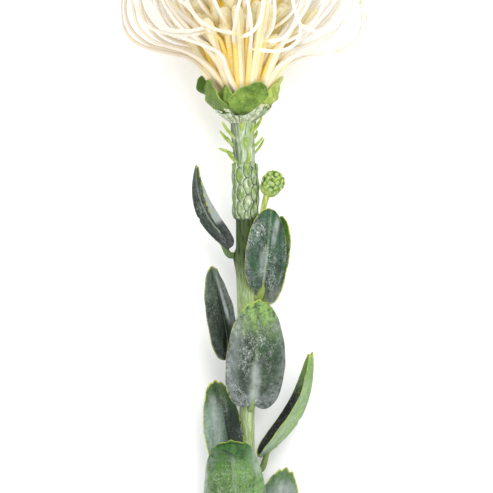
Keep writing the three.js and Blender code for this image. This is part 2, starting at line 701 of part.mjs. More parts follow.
function flowerHead() {
  const parts = [core()];
  for (let item = 0; item < PEGS; item++) parts.push(peg(item));
  for (let item = 0; item < STYLES; item++) {
    const path = stylePath(item, Math.sqrt((item + 0.5) / STYLES), item * GOLDEN_TURN);
    parts.push(style(path, STYLE_STEPS));
  }
  RESTING_TURNS.forEach((degrees, k) => {
    const path = stylePath(STYLES + k, 1, Math.PI + degToRad(degrees));
    parts.push(style(path, STYLE_STEPS));
  });
  for (const route of FRONT_STYLES) {
    const path = route.map((point) => new THREE.Vector3(...point));
    parts.push(style(path, FRONT_STYLE_STEPS));
  }
  const trimmed = (whole) => whole.intersect(solidOf(aboveSurface()));
  return named("flower_head", joined(parts, trimmed), 0xf1e6cc, 0.5);
}

const protea = new THREE.Group();
protea.add(stem(), involucre(), flowerHead(), sideBud(), ...LEAVES.map(leaf));
protea.rotation.x = TILT;
protea.position.set(-MIDDLE.x, -MIDDLE.y, CUT_END_LIFT);

export default protea;
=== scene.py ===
"""A cut pincushion protea that lies on its bloom and its cut end.

Shapes are worked out in the plant's own millimetres: y runs up the stem to the bloom, x is the
right and z the front, and a turn goes round y from the front towards the right. laid() takes
them to the frame's metres, where z is up off the surface that the plant lies on.
"""

from math import cos, pi, radians, sin, tau

import bpy
import numpy as np
from bpy.props import FloatProperty, FloatVectorProperty, IntProperty, PointerProperty
from bpy.types import Operator, Panel, PropertyGroup
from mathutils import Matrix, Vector


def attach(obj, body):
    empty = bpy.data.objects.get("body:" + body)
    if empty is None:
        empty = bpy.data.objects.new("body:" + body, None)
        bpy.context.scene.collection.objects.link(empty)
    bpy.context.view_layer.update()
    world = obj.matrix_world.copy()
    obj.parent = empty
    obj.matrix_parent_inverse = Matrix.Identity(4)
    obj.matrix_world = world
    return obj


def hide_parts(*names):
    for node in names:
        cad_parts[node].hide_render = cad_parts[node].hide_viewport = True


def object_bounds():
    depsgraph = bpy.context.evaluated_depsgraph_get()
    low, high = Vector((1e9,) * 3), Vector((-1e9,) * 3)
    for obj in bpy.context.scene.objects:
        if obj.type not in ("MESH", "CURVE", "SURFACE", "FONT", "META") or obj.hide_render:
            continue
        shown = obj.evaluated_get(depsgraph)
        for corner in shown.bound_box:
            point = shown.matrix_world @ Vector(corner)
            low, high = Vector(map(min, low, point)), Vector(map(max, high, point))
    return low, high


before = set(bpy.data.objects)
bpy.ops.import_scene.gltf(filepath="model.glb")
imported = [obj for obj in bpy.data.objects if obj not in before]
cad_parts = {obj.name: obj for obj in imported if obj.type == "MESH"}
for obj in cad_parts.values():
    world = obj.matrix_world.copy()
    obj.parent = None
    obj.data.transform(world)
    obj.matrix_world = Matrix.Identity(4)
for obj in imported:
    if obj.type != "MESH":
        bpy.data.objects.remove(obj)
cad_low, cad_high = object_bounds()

bl_info = {
    "name": "Pincushion Protea",
    "version": (1, 0, 0),
    "blender": (4, 5, 0),
    "location": "View3D > Sidebar > Protea",
    "description": "Builds the bloom, bract cup, stem, side bud and leaves of a cut pincushion protea",
    "category": "Add Mesh",
}

# How the plant lies, the same as in the solid model
TILT = radians(8.1)
LIFT = 3.89
MIDDLE_Y = 157.2
UPWARDS = np.array([0, sin(TILT), cos(TILT)])

UP = np.array([0, 1, 0])
FORWARD = np.array([0, 0, 1])
GOLDEN_TURN = pi * (3 - 5**0.5)
# The front and the back of a plate
FACES = np.array([1, -1])[:, None, None]

# The stem. Rows of its profile: height, sideways, radius
STEM_TOP = 219.6
STEM_PROFILE = np.array([
    [0, 1.8, 3.8], [66, 0.9, 3.5], [92, 0.9, 3.5], [161, 0, 4.1], [174, 0.1, 4.3], [178, 0.2, 5.2],
    [188, 0.4, 5.4], [198, 0, 5.2], [203, -0.3, 4.8], [216, -1.1, 5.3], [STEM_TOP, -1.1, 5.4],
])
CUT_SLANT = 0.9
SCALES_FROM = 175.5
SCALES_TO = 201
SCALE_COLUMNS = 10
SCALE_PITCH = 7.7
FLUTES = 8
FLUTE_DEPTH = 0.12

# What stands on the stem: its gap in the solid model, and how far stalks start under the skin here
SEAT_GAP = 0.35
ROOTED = 0.25

# Awl-shaped bractlets: turn in degrees, height, length, lean in degrees
BRACTLETS = np.array([
    [-50, 211.6, 11, 46], [-80, 208.4, 9.4, 44], [-92, 205, 7.6, 70], [-48, 200.8, 8.2, 46],
    [75, 214.6, 8.7, 33], [95, 211.4, 4.2, 26], [60, 207.2, 7.4, 46], [88, 204.4, 8.8, 34],
    [-4, 215.6, 4, 32], [10, 206.6, 6.4, 22], [12, 198.6, 7.4, 22], [44, 213, 6, 28], [140, 213.5, 8, 34],
    [170, 208, 8, 36], [-150, 211, 8, 34], [-125, 206, 8, 38], [150, 204, 7, 36],
])

# The bloom's styles. The plant rests on a row of them, which have item numbers of their own
HEAD_X = -0.4
STYLE_POINTS = 27
STYLE_FOOT = 234
STYLE_FOOT_RADIUS = 12
STYLE_CONE = 0.687
STYLE_ELBOW = 9
RESTING_TURNS = np.radians(180 + np.linspace(-44, 44, 15))
RESTING_ITEM = 200

# The core: height and radius
CORE = np.array([
    [226.3, 4], [227.6, 8.2], [234, 10.2], [244, 12.5], [254, 15], [264, 17], [274, 17], [284, 14.5],
    [292, 10], [296, 4],
])

# The cup. Rows of its wall, from the outside to the inside: radius, rise over its foot, how torn it is
CUP_X = -1.6
CUP_FOOT = STEM_TOP + SEAT_GAP
CUP_RADIUS = 12.6
CUP_WALL = np.array([
    [5.5, -0.6, 0], [6, 0.2, 0], [7.6, 1.2, 0], [10.4, 3.2, 0.1], [CUP_RADIUS, 5.4, 0.5],
    [CUP_RADIUS + 0.7, 7, 1.4], [CUP_RADIUS + 0.8, 7.8, 1.6], [CUP_RADIUS + 0.2, 7.7, 1.6],
    [CUP_RADIUS - 0.3, 7, 1.2], [10.6, 6, 0.3], [6, 5.4, 0],
])

# Bracts: turn, foot, width, length, belly, nod, flare, lean, twist, how wavy, how lime, and how far it is
# painted a dark saturated green as shade
BRACTS = [
    (6, 222.6, 17, 14.6, 5.5, 3.6, 0.34, 34, 0, 0.7, 0, 0),
    (-33, 224.6, 10.5, 11.8, 5, 0.5, -0.5, 4, 0, 0.5, 0, 0),
    (-62, 223.6, 20, 14.8, 7, 0.6, -0.1, -8, 8, 0.6, 0, 0.4),
    (-97, 228.6, 9.5, 12, 5.6, -1.6, 0.2, 0, -78, 0.15, 0, 1),
    (68, 226, 12, 14, 3.8, 0.4, -0.25, 4, 8, 0.6, 1, 0),
    (126, 225, 14, 14, 4.6, 1.5, 0.1, -10, 0, 1, 0.3, 0.2),
    (161, 225.4, 15, 14.5, 6, 1, -0.2, 12, 0, 1, 0, 0.3),
    (-154, 225, 16, 14, 6.6, 1, 0.1, 8, 0, 1, 0.2, 0),
]

# The side bud and where its stalk leaves the stem
BUD_PLACE = np.array([13, 192.2, 3.4])
BUD_RADIUS = 4.9
BUD_STALK_TURN = radians(72)
BUD_STALK_HEIGHT = 170.4
BUD_STALK_RADIUS = 1.15

# Leaf blades: where they are widest as a share of their length, how much narrower they get above it, how
# square the lobes at the notch are, and the angles of one tooth and of the teeth either side of the tip
LEAF_MIDDLE = 0.42
LEAF_TAPER = 0.12
NOTCH_POWER = 0.35
TOOTH_STEP = 0.17
TOOTHED = 2.5 * TOOTH_STEP
PETIOLE_RADIUS = 1.5

# The studio. Each light's name, place, target, size and power, the strength of the light all round, and
# the share that all colours are turned down by for it. The camera's sensor is in millimetres, and the
# middle of the photograph's frame is a point of the plant.
LIGHTS = [
    ("key", (0.45, 0.4, 1.6), (0, 0.02, 0.04), 1, 14),
    ("fill", (-1.1, 0.3, 1), (0, 0.02, 0.04), 1.2, 5),
    ("low", (0.1, -1.3, 0.9), (0, 0, 0.04), 1, 5.5),
]
DAYLIGHT = 0.95
STUDIO = 0.85
SENSOR = 36
FRAME_MIDDLE = (0.69, 162.61, 0)

# Styles placed as they are seen from the front, each through points of its path
FRONT_STYLES = [
    [(-11, 234, 4), (-18.5, 243, 6), (-24.8, 249, 7), (-33.4, 251.3, 8), (-46.5, 254.4, 8),
        (-53.8, 259.2, 7), (-57.2, 267, 5), (-57.2, 275, 3), (-54.5, 284, 1)],
    [(-10, 234, -3), (-19, 245, -6), (-30, 251.5, -9), (-44.6, 255.8, -12), (-52.4, 262.4, -13),
        (-55.2, 270, -13), (-54.7, 277, -12), (-51, 286, -10)],
    [(-8, 234, 8), (-16.5, 245, 12), (-26, 251.6, 15), (-41, 256.5, 17), (-48.5, 263, 16),
        (-51.2, 271, 14), (-51.5, 279, 11), (-48, 288, 8)],
    [(-4, 234, 11), (-7.5, 241, 14), (-11, 250.6, 18), (-19.5, 255, 23), (-29.7, 258.8, 28),
        (-37, 264, 30), (-40.5, 270.7, 30), (-41.8, 279, 28)],
    [(-6.5, 234, 9.5), (-13, 248, 16), (-25, 261, 26), (-34.5, 273, 35), (-38, 284, 42),
        (-33.4, 277.5, 47), (-26.5, 272, 50), (-21.5, 266.2, 51), (-13.8, 261.7, 51), (-1.6, 259.2, 49)],
    [(3, 234, 11), (5.5, 250, 18), (9, 264, 28), (12, 278, 37), (11.4, 288.5, 44), (8.6, 280.5, 49),
        (7.1, 267.7, 50), (3.8, 260.8, 49), (-2.3, 257.6, 46)],
    [(7.5, 234, 9), (13, 249, 15), (21, 262, 25), (26, 276, 34), (24.5, 288, 41), (21.4, 279.5, 46),
        (22.6, 270, 47.5), (25.4, 262.6, 48), (23.2, 255.2, 48), (16.5, 251.8, 48), (2.2, 252.6, 46)],
    [(10, 234, 4), (16, 243, 6), (22, 249.4, 7), (32.7, 251.8, 8), (44.2, 251.4, 8), (51, 255.1, 7),
        (55.2, 260.8, 6), (57.2, 269.8, 4)],
    [(9.5, 234, -5), (17, 244.5, -8), (28, 250, -12), (42, 252.6, -15), (51, 258, -17), (54.5, 267, -17),
        (53.5, 277, -15)],
    [(8.5, 234, 7), (15.5, 245, 12), (24, 250.6, 17), (34, 254.2, 22), (42, 261, 25), (46.6, 269, 25),
        (48.2, 278, 22)],
    [(-4, 237, 3), (-13, 251, 10), (-29, 264, 20), (-45, 278, 26), (-51, 284, 30), (-50, 273, 35),
        (-45.5, 264, 38), (-35.9, 259.9, 41), (-26.2, 259, 43), (-17, 260.8, 44)],
    [(-2, 238, 5), (-10, 252, 12), (-26, 266, 23), (-41, 278, 32), (-45, 276, 38), (-42.3, 266, 42),
        (-38.2, 263.1, 44), (-30.4, 260.8, 46), (-22.5, 261.3, 47), (-16.1, 263.1, 47)],
    [(3, 238, 3), (11, 252, 12), (23, 268, 24), (31, 281, 31), (29, 274, 37), (24.4, 265.9, 41),
        (21.2, 261.7, 42), (16.6, 257.1, 42), (8.3, 256.2, 41)],
    [(4, 237, 1), (14, 248, 8), (28, 260, 16), (40, 273, 22), (46.5, 282, 26), (46.5, 273.7, 31),
        (43.2, 265.9, 33), (36.8, 260.8, 34), (29, 261.7, 35), (24.4, 265, 35)],
]


def srgb(red, green, blue):
    """Linear colour of three bytes as a screen shows them, turned down to a share for the bright studio."""
    share = np.array([red, green, blue]) / 255
    linear = np.where(share < 0.04045, share / 12.92, ((share + 0.055) / 1.055) ** 2.4)
    return tuple(float(x) for x in linear * STUDIO)


STYLE_CREAM = srgb(232, 220, 198)
# The white that styles are painted towards: by a seeded draw, and as painted light to the right and in front
STYLE_WHITE = srgb(252, 248, 238)
STYLE_FOOT_YELLOW = srgb(240, 208, 104)
PERIANTH = srgb(242, 230, 196)
GOLD = srgb(240, 208, 84)
BRACT_GREEN = srgb(126, 156, 62)
BRACT_SHADE = srgb(84, 116, 38)
BRACT_EDGE = srgb(186, 200, 112)
CUP_FROST = srgb(242, 248, 222)
STEM_PALE = srgb(198, 218, 162)
STEM_GREY = srgb(172, 192, 150)
# Painted highlight: the pale rim on the lit side of each scale
SCALE_RIM_HIGHLIGHT = srgb(222, 232, 208)
BRACTLET_LIME = srgb(176, 198, 84)
BUD_GREEN = srgb(110, 144, 52)
BUD_TIP = srgb(196, 212, 74)
LEAF_DEEP = srgb(34, 48, 38)
LEAF_LIME = srgb(196, 212, 62)
POWDER = srgb(224, 230, 226)
LEAF_RIB = srgb(170, 192, 160)
# Painted sheen: the grey of the leaves' rolled edges
LEAF_ROLLED_SHEEN = srgb(150, 156, 156)
LEAF_SHEEN = srgb(188, 198, 194)
TOOTH_TIP = srgb(214, 210, 84)

# Leaves. foot is the petiole's turn in degrees and height on the stem, base, tip and faces place the blade,
# and width, fold, roll, bow, twist, lobe, nod and teeth shape it, as in the solid model. halves are the
# shares of the full width that the left and the right half have.
# Colours, in screen bytes: left and right are the blade's halves, top is its tip, low its foot, and stalk
# its petiole. The halves are partly painted light and shade, a half that a fold turns from the light being
# darker, and low is near black as painted shade on some leaves. margins are the strengths of the yellow
# margin to the left and right, and it begins at the share edged of the length. rolled and footed are those
# of the grey rolled edges, a painted sheen, and of the foot's colour. powder, mottled and dark are the
# strengths of the powder, of the darker streaks and of the black foot of the fold, which is painted shade.
# line is where the rib runs across the blade at its foot and at its tip, and how pale it is. A band of
# sheen, a painted reflection, is its place across at the foot and at the tip, half its width, its
# strength, and the shares of the length where it starts and ends. Places across the blade run from -1 at
# the left to 1.
LEAF_PLAIN = dict(
    twist=0, lobe=4.5, nod=0, stalk=(120, 144, 88), dark=0.1, halves=(1, 1), edged=0, mottled=1,
    footed=(0.9, 0.9),
)


def leaf_row(name, **own):
    """A leaf's numbers, with the plain ones for those that it doesn't give."""
    return {**LEAF_PLAIN, **own, "name": name}


LEAVES = [
    leaf_row(
        "leaf_top_left", foot=(-82, 158.5), base=(-7.9, 162, 2.5), tip=(-22.6, 199.6, 6),
        faces=(0.9, 0.35, 0.1), width=18, fold=42, roll=70, bow=-7, twist=34, lobe=0.8, left=(50, 62, 54),
        right=(36, 50, 40), top=(56, 68, 58), low=(12, 17, 13), stalk=(96, 118, 70),
        line=(-0.95, -0.1, 0.9), powder=0.24, margins=(1, 0.4), rolled=(0, 0.3), dark=0.9, halves=(0.8, 1),
        teeth=0.4, edged=0.5, sheen=((0.75, 0.6, 0.7, 1.8, 0.25, 1.1), (0.5, 0.4, 0.3, 1.2, 0.4, 1.1)),
    ),
    leaf_row(
        "leaf_top_right", foot=(62, 139), base=(8.6, 147, 8.2), tip=(11, 180.2, 11.5),
        faces=(0.05, -0.1, 1), width=19, fold=10, roll=-30, bow=2.5, lobe=5.5, left=(50, 90, 57),
        right=(46, 86, 56), top=(40, 86, 44), low=(58, 88, 62), stalk=(160, 182, 96), line=(0, 0.12, 0.8),
        powder=0.7, margins=(0.9, 0.25), rolled=(0.25, 0), dark=0.2, teeth=0.12,
        sheen=((0.1, 0.5, 0.18, 0.6, 0.45, 0.95), (-0.1, -0.12, 0.3, 0.4, 0, 0.5)),
    ),
    leaf_row(
        "leaf_top_right_rear", foot=(112, 132), base=(9, 139.5, -7), tip=(17, 176.4, -6),
        faces=(-0.2, 0.1, 1), width=17.5, fold=12, roll=35, bow=-2, left=(47, 72, 45), right=(58, 89, 31),
        top=(74, 122, 11), low=(176, 184, 180), stalk=(150, 172, 100), line=(0, 0, 0.4), powder=0.35,
        margins=(0.3, 0.9), rolled=(0, 0), teeth=0.2, mottled=0.6, sheen=((0.4, 0.4, 0.4, 0.5, 0, 0.3),),
    ),
    leaf_row(
        "leaf_upper_left", foot=(-72, 107), base=(-7.6, 113.2, 4.5), tip=(-15.2, 153.2, 8.5),
        faces=(-0.25, 0.05, 1), width=17, fold=36, roll=44, bow=-3.5, lobe=3.5, left=(38, 56, 36),
        right=(38, 56, 38), top=(94, 114, 92), low=(21, 32, 21), stalk=(108, 130, 76), line=(0.15, 0, 0.55),
        powder=0.14, margins=(0.5, 0.05), rolled=(0.2, 0.4), dark=1, teeth=0.2,
        sheen=((0.85, 0.1, 0.24, 0.75, 0.3, 1),),
    ),
    leaf_row(
        "leaf_middle_front", foot=(18, 88), base=(3.7, 93.4, 10), tip=(6.6, 138, 14.5), faces=(0, 0.05, 1),
        width=28.4, fold=8, roll=-38, bow=3.5, lobe=6.8, left=(46, 68, 48), right=(50, 80, 44),
        top=(142, 182, 90), low=(58, 78, 62), stalk=(140, 166, 104), line=(0, 0.06, 0.55), powder=0.6,
        margins=(0.8, 0.05), rolled=(0.62, 0.55), teeth=0.5,
        sheen=((0.02, 0.1, 0.26, 0.6, -0.1, 0.42), (-0.75, -0.6, 0.3, 0.25, 0, 0.8)),
    ),
    leaf_row(
        "leaf_middle_rear", foot=(176, 90), base=(1.6, 95.5, -8), tip=(3, 134, -13), faces=(0, 0.1, 1),
        width=21, fold=18, roll=30, bow=-2.5, lobe=5.5, left=(57, 84, 55), right=(60, 88, 54),
        top=(73, 108, 52), low=(49, 70, 49), line=(0, 0, 0.8), powder=0.6, margins=(0.7, 0.5),
        rolled=(0.3, 0.3), dark=0.3, teeth=0.5, sheen=((0.4, 0.3, 0.25, 0.4, 0.1, 0.8),),
    ),
    leaf_row(
        "leaf_lower_left", foot=(-68, 57.5), base=(-7.4, 64, 3.5), tip=(-13.6, 100.8, 2.5),
        faces=(-0.12, 0.1, 1), width=21, fold=30, roll=36, bow=-3.5, left=(140, 164, 146),
        right=(30, 48, 34), top=(78, 105, 59), low=(92, 118, 77), stalk=(108, 130, 76),
        line=(0.1, 0.1, 0.3), powder=0.35, margins=(0.9, 0.5), rolled=(0, 0), dark=0.3, teeth=0.35,
        mottled=0.6, sheen=((-0.45, -0.3, 0.3, 0.5, 0.1, 0.9),),
    ),
    leaf_row(
        "leaf_lower_right", foot=(84, 60), base=(7.4, 65.8, 1), tip=(30.8, 113.4, 4),
        faces=(-0.8, 0.35, 0.42), width=20, fold=44, roll=62, bow=-8.6, lobe=0.8, left=(14, 21, 15),
        right=(140, 176, 106), top=(134, 172, 92), low=(136, 164, 134), stalk=(120, 144, 80),
        line=(0, 0, 0.2), powder=0.3, margins=(0.9, 0.5), rolled=(0, 0.3), dark=0, halves=(0.84, 1),
        teeth=0.6, mottled=0.25, footed=(0, 0.9), sheen=((0.6, 0.5, 0.2, 0.3, 0, 0.5),),
    ),
    leaf_row(
        "leaf_bottom_front", foot=(-14, 26), base=(-3.4, 31.5, 10), tip=(-6.8, 77.5, 14),
        faces=(0, 0.05, 1), width=29.5, fold=8, roll=-36, bow=3.5, lobe=8, nod=3.5, left=(84, 126, 44),
        right=(112, 156, 74), top=(50, 104, 30), low=(78, 114, 54), line=(0, 0.06, 0.2), powder=0.26,
        margins=(0.4, 0.3), rolled=(0.5, 0.3), teeth=0.35, mottled=0.7,
        sheen=(
            (0, 0.02, 0.1, 0.25, 0, 0.86), (-0.95, -0.9, 0.14, 0.6, 0, 0.9),
            (0.85, 0.75, 0.25, 0.45, 0.5, 0.95),
        ),
    ),
    leaf_row(
        "leaf_bottom_right", foot=(84, 14), base=(10.4, 20, 3.5), tip=(19, 60.4, 6.5), faces=(-0.1, 0.1, 1),
        width=23, fold=16, roll=30, bow=-3, left=(146, 162, 156), right=(150, 166, 162), top=(96, 130, 82),
        low=(110, 136, 104), line=(0, 0, 0.5), powder=0.5, margins=(1, 0.9), rolled=(0, 0), teeth=0.6,
        mottled=0.5, sheen=((0, 0.1, 0.6, 0.7, 0.1, 0.93),),
    ),
    leaf_row(
        "leaf_bottom_rear", foot=(208, 27), base=(-0.4, 33, -5.6), tip=(-3, 72, -8.7), faces=(0, 0.1, 1),
        width=21, fold=10, roll=18, bow=0, left=(63, 96, 48), right=(67, 98, 52), top=(76, 112, 45),
        low=(62, 90, 51), line=(0, 0, 0.8), powder=0.5, margins=(0.7, 0.5), rolled=(0.3, 0.3), dark=0.2,
        teeth=0.5, sheen=((-0.4, -0.3, 0.25, 0.4, 0.1, 0.8),),
    ),
]


# Numbers and places


def draw(item, use):
    """A number from 0 to 1 that is the same each time for an item and a use: the fraction of a large sine."""
    spread = np.sin(np.asarray(item) * 12.9898 + use * 78.233) * 43758.5453
    return spread - np.floor(spread)


def draws_round(place, count, use):
    """Seeded draws at the whole places of a ring of count, with straight lines between them."""
    drawn = draw(np.arange(count), use)
    return np.interp(place, np.arange(count + 1), np.append(drawn, drawn[0]))


def ease(value, low, high):
    """0 at low and before it, 1 at high and past it, and 3t^2 - 2t^3 between them."""
    share = np.clip((np.asarray(value, float) - low) / (high - low), 0, 1)
    return share * share * (3 - 2 * share)


def blend(low, high, share):
    """low + (high - low) x share."""
    return low + (high - low) * share


def along(rows, at, column):
    """The value at a height on rows of height and values, eased from each row to the next."""
    at = np.asarray(at, float)
    low = np.clip(np.searchsorted(rows[:, 0], at, side="right") - 1, 0, len(rows) - 2)
    share = ease((at - rows[low, 0]) / (rows[low + 1, 0] - rows[low, 0]), 0, 1)
    return blend(rows[low, column], rows[low + 1, column], share)


def outward(turn):
    """The direction (sin, 0, cos) of a turn round the plant's axis."""
    return np.stack([np.sin(turn), np.zeros_like(turn), np.cos(turn)], -1)


def round_axis(radius, turn, height, middle=HEAD_X):
    """Points at a height: the radius times the turn's outward direction, moved sideways by the middle."""
    radius, turn, height, middle = np.broadcast_arrays(radius, turn, height, middle)
    return np.stack([radius * np.sin(turn) + middle, height, radius * np.cos(turn)], -1)


def unit(vectors):
    """Each vector over its length."""
    return vectors / np.maximum(np.linalg.norm(vectors, axis=-1, keepdims=True), 1e-9)


def ring_of(count):
    """Even angles round a circle."""
    return np.arange(count) / count * tau


def half_width(width):
    """Half of a width in metres, in millimetres."""
    return width * 500


def laid(points):
    """Plant millimetres in the frame's metres: turned by the tilt about x, lifted, and centred."""
    x, y, z = np.moveaxis(np.asarray(points, float), -1, 0)
    height = y * sin(TILT) + z * cos(TILT) + LIFT
    return 0.001 * np.stack([x, y * cos(TILT) - z * sin(TILT) - MIDDLE_Y, height], -1)


def pressed(points, level, soft):
    """Points that the surface pushes up: height h over the level becomes (h + sqrt(h^2 + soft^2)) / 2."""
    height = points @ UPWARDS + LIFT - level
    lifted = (height + np.hypot(height, soft)) / 2
    return points + (lifted - height)[..., None] * UPWARDS


def held_back(values, limit, soft):
    """Values that slow down past limit - soft and never pass the limit: limit - soft e^(-over / soft)."""
    over = values - (limit - soft)
    return np.where(over > 0, limit - soft * np.exp(-np.maximum(over, 0) / soft), values)


def within_box(points, margin, soft=0.003):
    """Points in metres kept a margin inside the solid model's box by held_back, but for its underside."""
    kept = points.copy()
    for axis in range(3):
        kept[..., axis] = held_back(kept[..., axis], cad_high[axis] - margin, soft)
    for axis in range(2):
        kept[..., axis] = -held_back(-kept[..., axis], -(cad_low[axis] + margin), soft)
    return kept


def through(route, count):
    """A path through points: cubic arcs over the square roots of the chords, each point's slope being that
    of its neighbours."""
    route = np.asarray(route, float)
    chords = np.linalg.norm(np.diff(route, axis=0), axis=1)
    gone = np.concatenate([[0], np.cumsum(np.sqrt(chords))])
    slopes = np.gradient(route, gone, axis=0)
    at = np.linspace(0, gone[-1], count)
    low = np.clip(np.searchsorted(gone, at, side="right") - 1, 0, len(route) - 2)
    span = (gone[low + 1] - gone[low])[:, None]
    t = ((at - gone[low]) / span[:, 0])[:, None]
    return (
        (2 * t**3 - 3 * t**2 + 1) * route[low]
        + (t**3 - 2 * t**2 + t) * span * slopes[low]
        + (3 * t**2 - 2 * t**3) * route[low + 1]
        + (t**3 - t**2) * span * slopes[low + 1]
    )


# Meshes


class Skin:
    """Points, faces and point values of one piece, gathered from several surfaces."""

    def __init__(self):
        self.points, self.quads, self.triangles, self.values = [], [], [], {}
        self.count = 0

    def add(self, points, quads, triangles, values):
        """Adds one surface, with an array of each value for its points."""
        self.points.append(points)
        self.quads.append(quads + self.count)
        self.triangles.append(triangles + self.count)
        for name, value in values.items():
            self.values.setdefault(name, []).append(value)
        self.count += len(points)

    def add_rings(self, rings, **values):
        """Closed surfaces over rings: rings is (surfaces, rings, points of a ring, 3). Each ring is joined to
        the next, and the two ends close on their middles. A value is a number or an array that fits them."""
        surfaces, rows, sides = rings.shape[:3]
        first = (np.arange(surfaces) * (rows * sides + 2))[:, None, None]
        row = (np.arange(rows - 1) * sides)[None, :, None]
        side = np.arange(sides)[None, None, :]
        after = (side + 1) % sides
        here, there = first + row, first + row + sides
        quads = np.stack([here + side, here + after, there + after, there + side], -1).reshape(-1, 4)
        pole = np.broadcast_to(first + rows * sides, (surfaces, 1, sides))
        last = first + (rows - 1) * sides
        low = np.stack([pole, first + after, first + side], -1).reshape(-1, 3)
        high = np.stack([pole + 1, last + side, last + after], -1).reshape(-1, 3)
        poles = rings[:, [0, -1]].mean(2)
        points = np.concatenate([rings.reshape(surfaces, -1, 3), poles], 1).reshape(-1, 3)
        spread = {}
        for name, value in values.items():
            grid = np.broadcast_to(value, rings.shape[:3])
            ends = grid[:, [0, -1]].mean(2)
            spread[name] = np.concatenate([grid.reshape(surfaces, -1), ends], 1).ravel()
        self.add(points, quads, np.concatenate([low, high]), spread)

    def add_plate(self, faces, **values):
        """A plate with two faces: faces is (2, shares, angles, 3), the front first and from the middle out.
        Each face is a fan of rings, and a band joins their rims."""
        shares, angles = faces.shape[1:3]
        front = np.arange(shares * angles).reshape(shares, angles)
        after = np.roll(front, -1, axis=1)
        ring = np.stack([front[:-1], front[1:], after[1:], after[:-1]], -1).reshape(-1, 4)
        back = shares * angles
        band = np.stack([front[-1], front[-1] + back, after[-1] + back, after[-1]], -1)
        quads = np.concatenate([ring, ring[:, ::-1] + back, band])
        middle = 2 * back
        fan = np.stack([np.full(angles, middle), front[0], after[0]], -1)
        behind = np.stack([fan[:, 0] + 1, fan[:, 2] + back, fan[:, 1] + back], -1)
        points = np.concatenate([faces.reshape(-1, 3), faces[:, 0].mean(1)])
        spread = {}
        for name, value in values.items():
            grid = np.broadcast_to(value, faces.shape[:3])
            spread[name] = np.concatenate([grid.reshape(-1), grid[:, 0].mean(1)])
        self.add(points, quads, np.concatenate([fan, behind]), spread)

    def piece(self, name, material, node, sharp=50):
        """The finished object, smooth but for edges sharper than an angle. It takes its node's place."""
        points, quads, triangles = map(np.concatenate, (self.points, self.quads, self.triangles))
        corners = np.concatenate([quads.ravel(), triangles.ravel()])
        totals = np.repeat([4, 3], [len(quads), len(triangles)])
        mesh = bpy.data.meshes.new(name)
        mesh.vertices.add(len(points))
        mesh.vertices.foreach_set("co", points.astype(np.float32).ravel())
        mesh.loops.add(len(corners))
        mesh.loops.foreach_set("vertex_index", corners.astype(np.int32))
        mesh.polygons.add(len(totals))
        mesh.polygons.foreach_set("loop_start", (np.cumsum(totals) - totals).astype(np.int32))
        mesh.update(calc_edges=True)
        for value, arrays in self.values.items():
            layer = mesh.attributes.new(value, "FLOAT", "POINT")
            layer.data.foreach_set("value", np.concatenate(arrays).astype(np.float32))
        mesh.shade_smooth()
        mesh.set_sharp_from_angle(angle=radians(sharp))
        mesh.materials.append(material)
        made = bpy.data.objects.new(name, mesh)
        bpy.context.scene.collection.objects.link(made)
        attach(made, "root")
        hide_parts(node)


def tubes(paths, radii, sides, squash=1.0, start=(0.3, 0.2, 1.0)):
    """Rings round paths (tubes, steps, 3): each ring lies square to the path on a normal that is carried
    along with the least turning. radii is (tubes, steps), or with a last axis for the angle."""
    ahead = unit(np.gradient(paths, axis=1))
    normal = np.empty_like(ahead)
    last = np.broadcast_to(np.asarray(start, float), ahead[:, 0].shape)
    for step in range(paths.shape[1]):
        last = unit(last - (last * ahead[:, step]).sum(-1, keepdims=True) * ahead[:, step])
        normal[:, step] = last
    across = np.cross(ahead, normal)
    angle = ring_of(sides)[:, None]
    if radii.ndim == 2:
        radii = radii[..., None]
    ring = normal[:, :, None] * np.cos(angle) + squash * across[:, :, None] * np.sin(angle)
    return paths[:, :, None] + radii[..., None] * ring


# Materials


class Value:
    """A number on a socket. Python's operators on it add Math nodes."""

    def __init__(self, finish, socket):
        self.finish = finish
        self.socket = socket

    def __add__(self, other):
        return self.finish.math("ADD", self, other)

    def __sub__(self, other):
        return self.finish.math("SUBTRACT", self, other)

    def __rsub__(self, other):
        return self.finish.math("SUBTRACT", other, self)

    def __mul__(self, other):
        return self.finish.math("MULTIPLY", self, other)

    def __abs__(self):
        return self.finish.math("ABSOLUTE", self)

    __radd__ = __add__
    __rmul__ = __mul__

    def between(self, low, high, start=0, end=1):
        """start below low, end above high, eased between them."""
        node = self.finish.node(
            "ShaderNodeMapRange",
            {"interpolation_type": "SMOOTHSTEP", "clamp": True},
            {"Value": self, "From Min": low, "From Max": high, "To Min": start, "To Max": end},
        )
        return Value(self.finish, node.outputs["Result"])


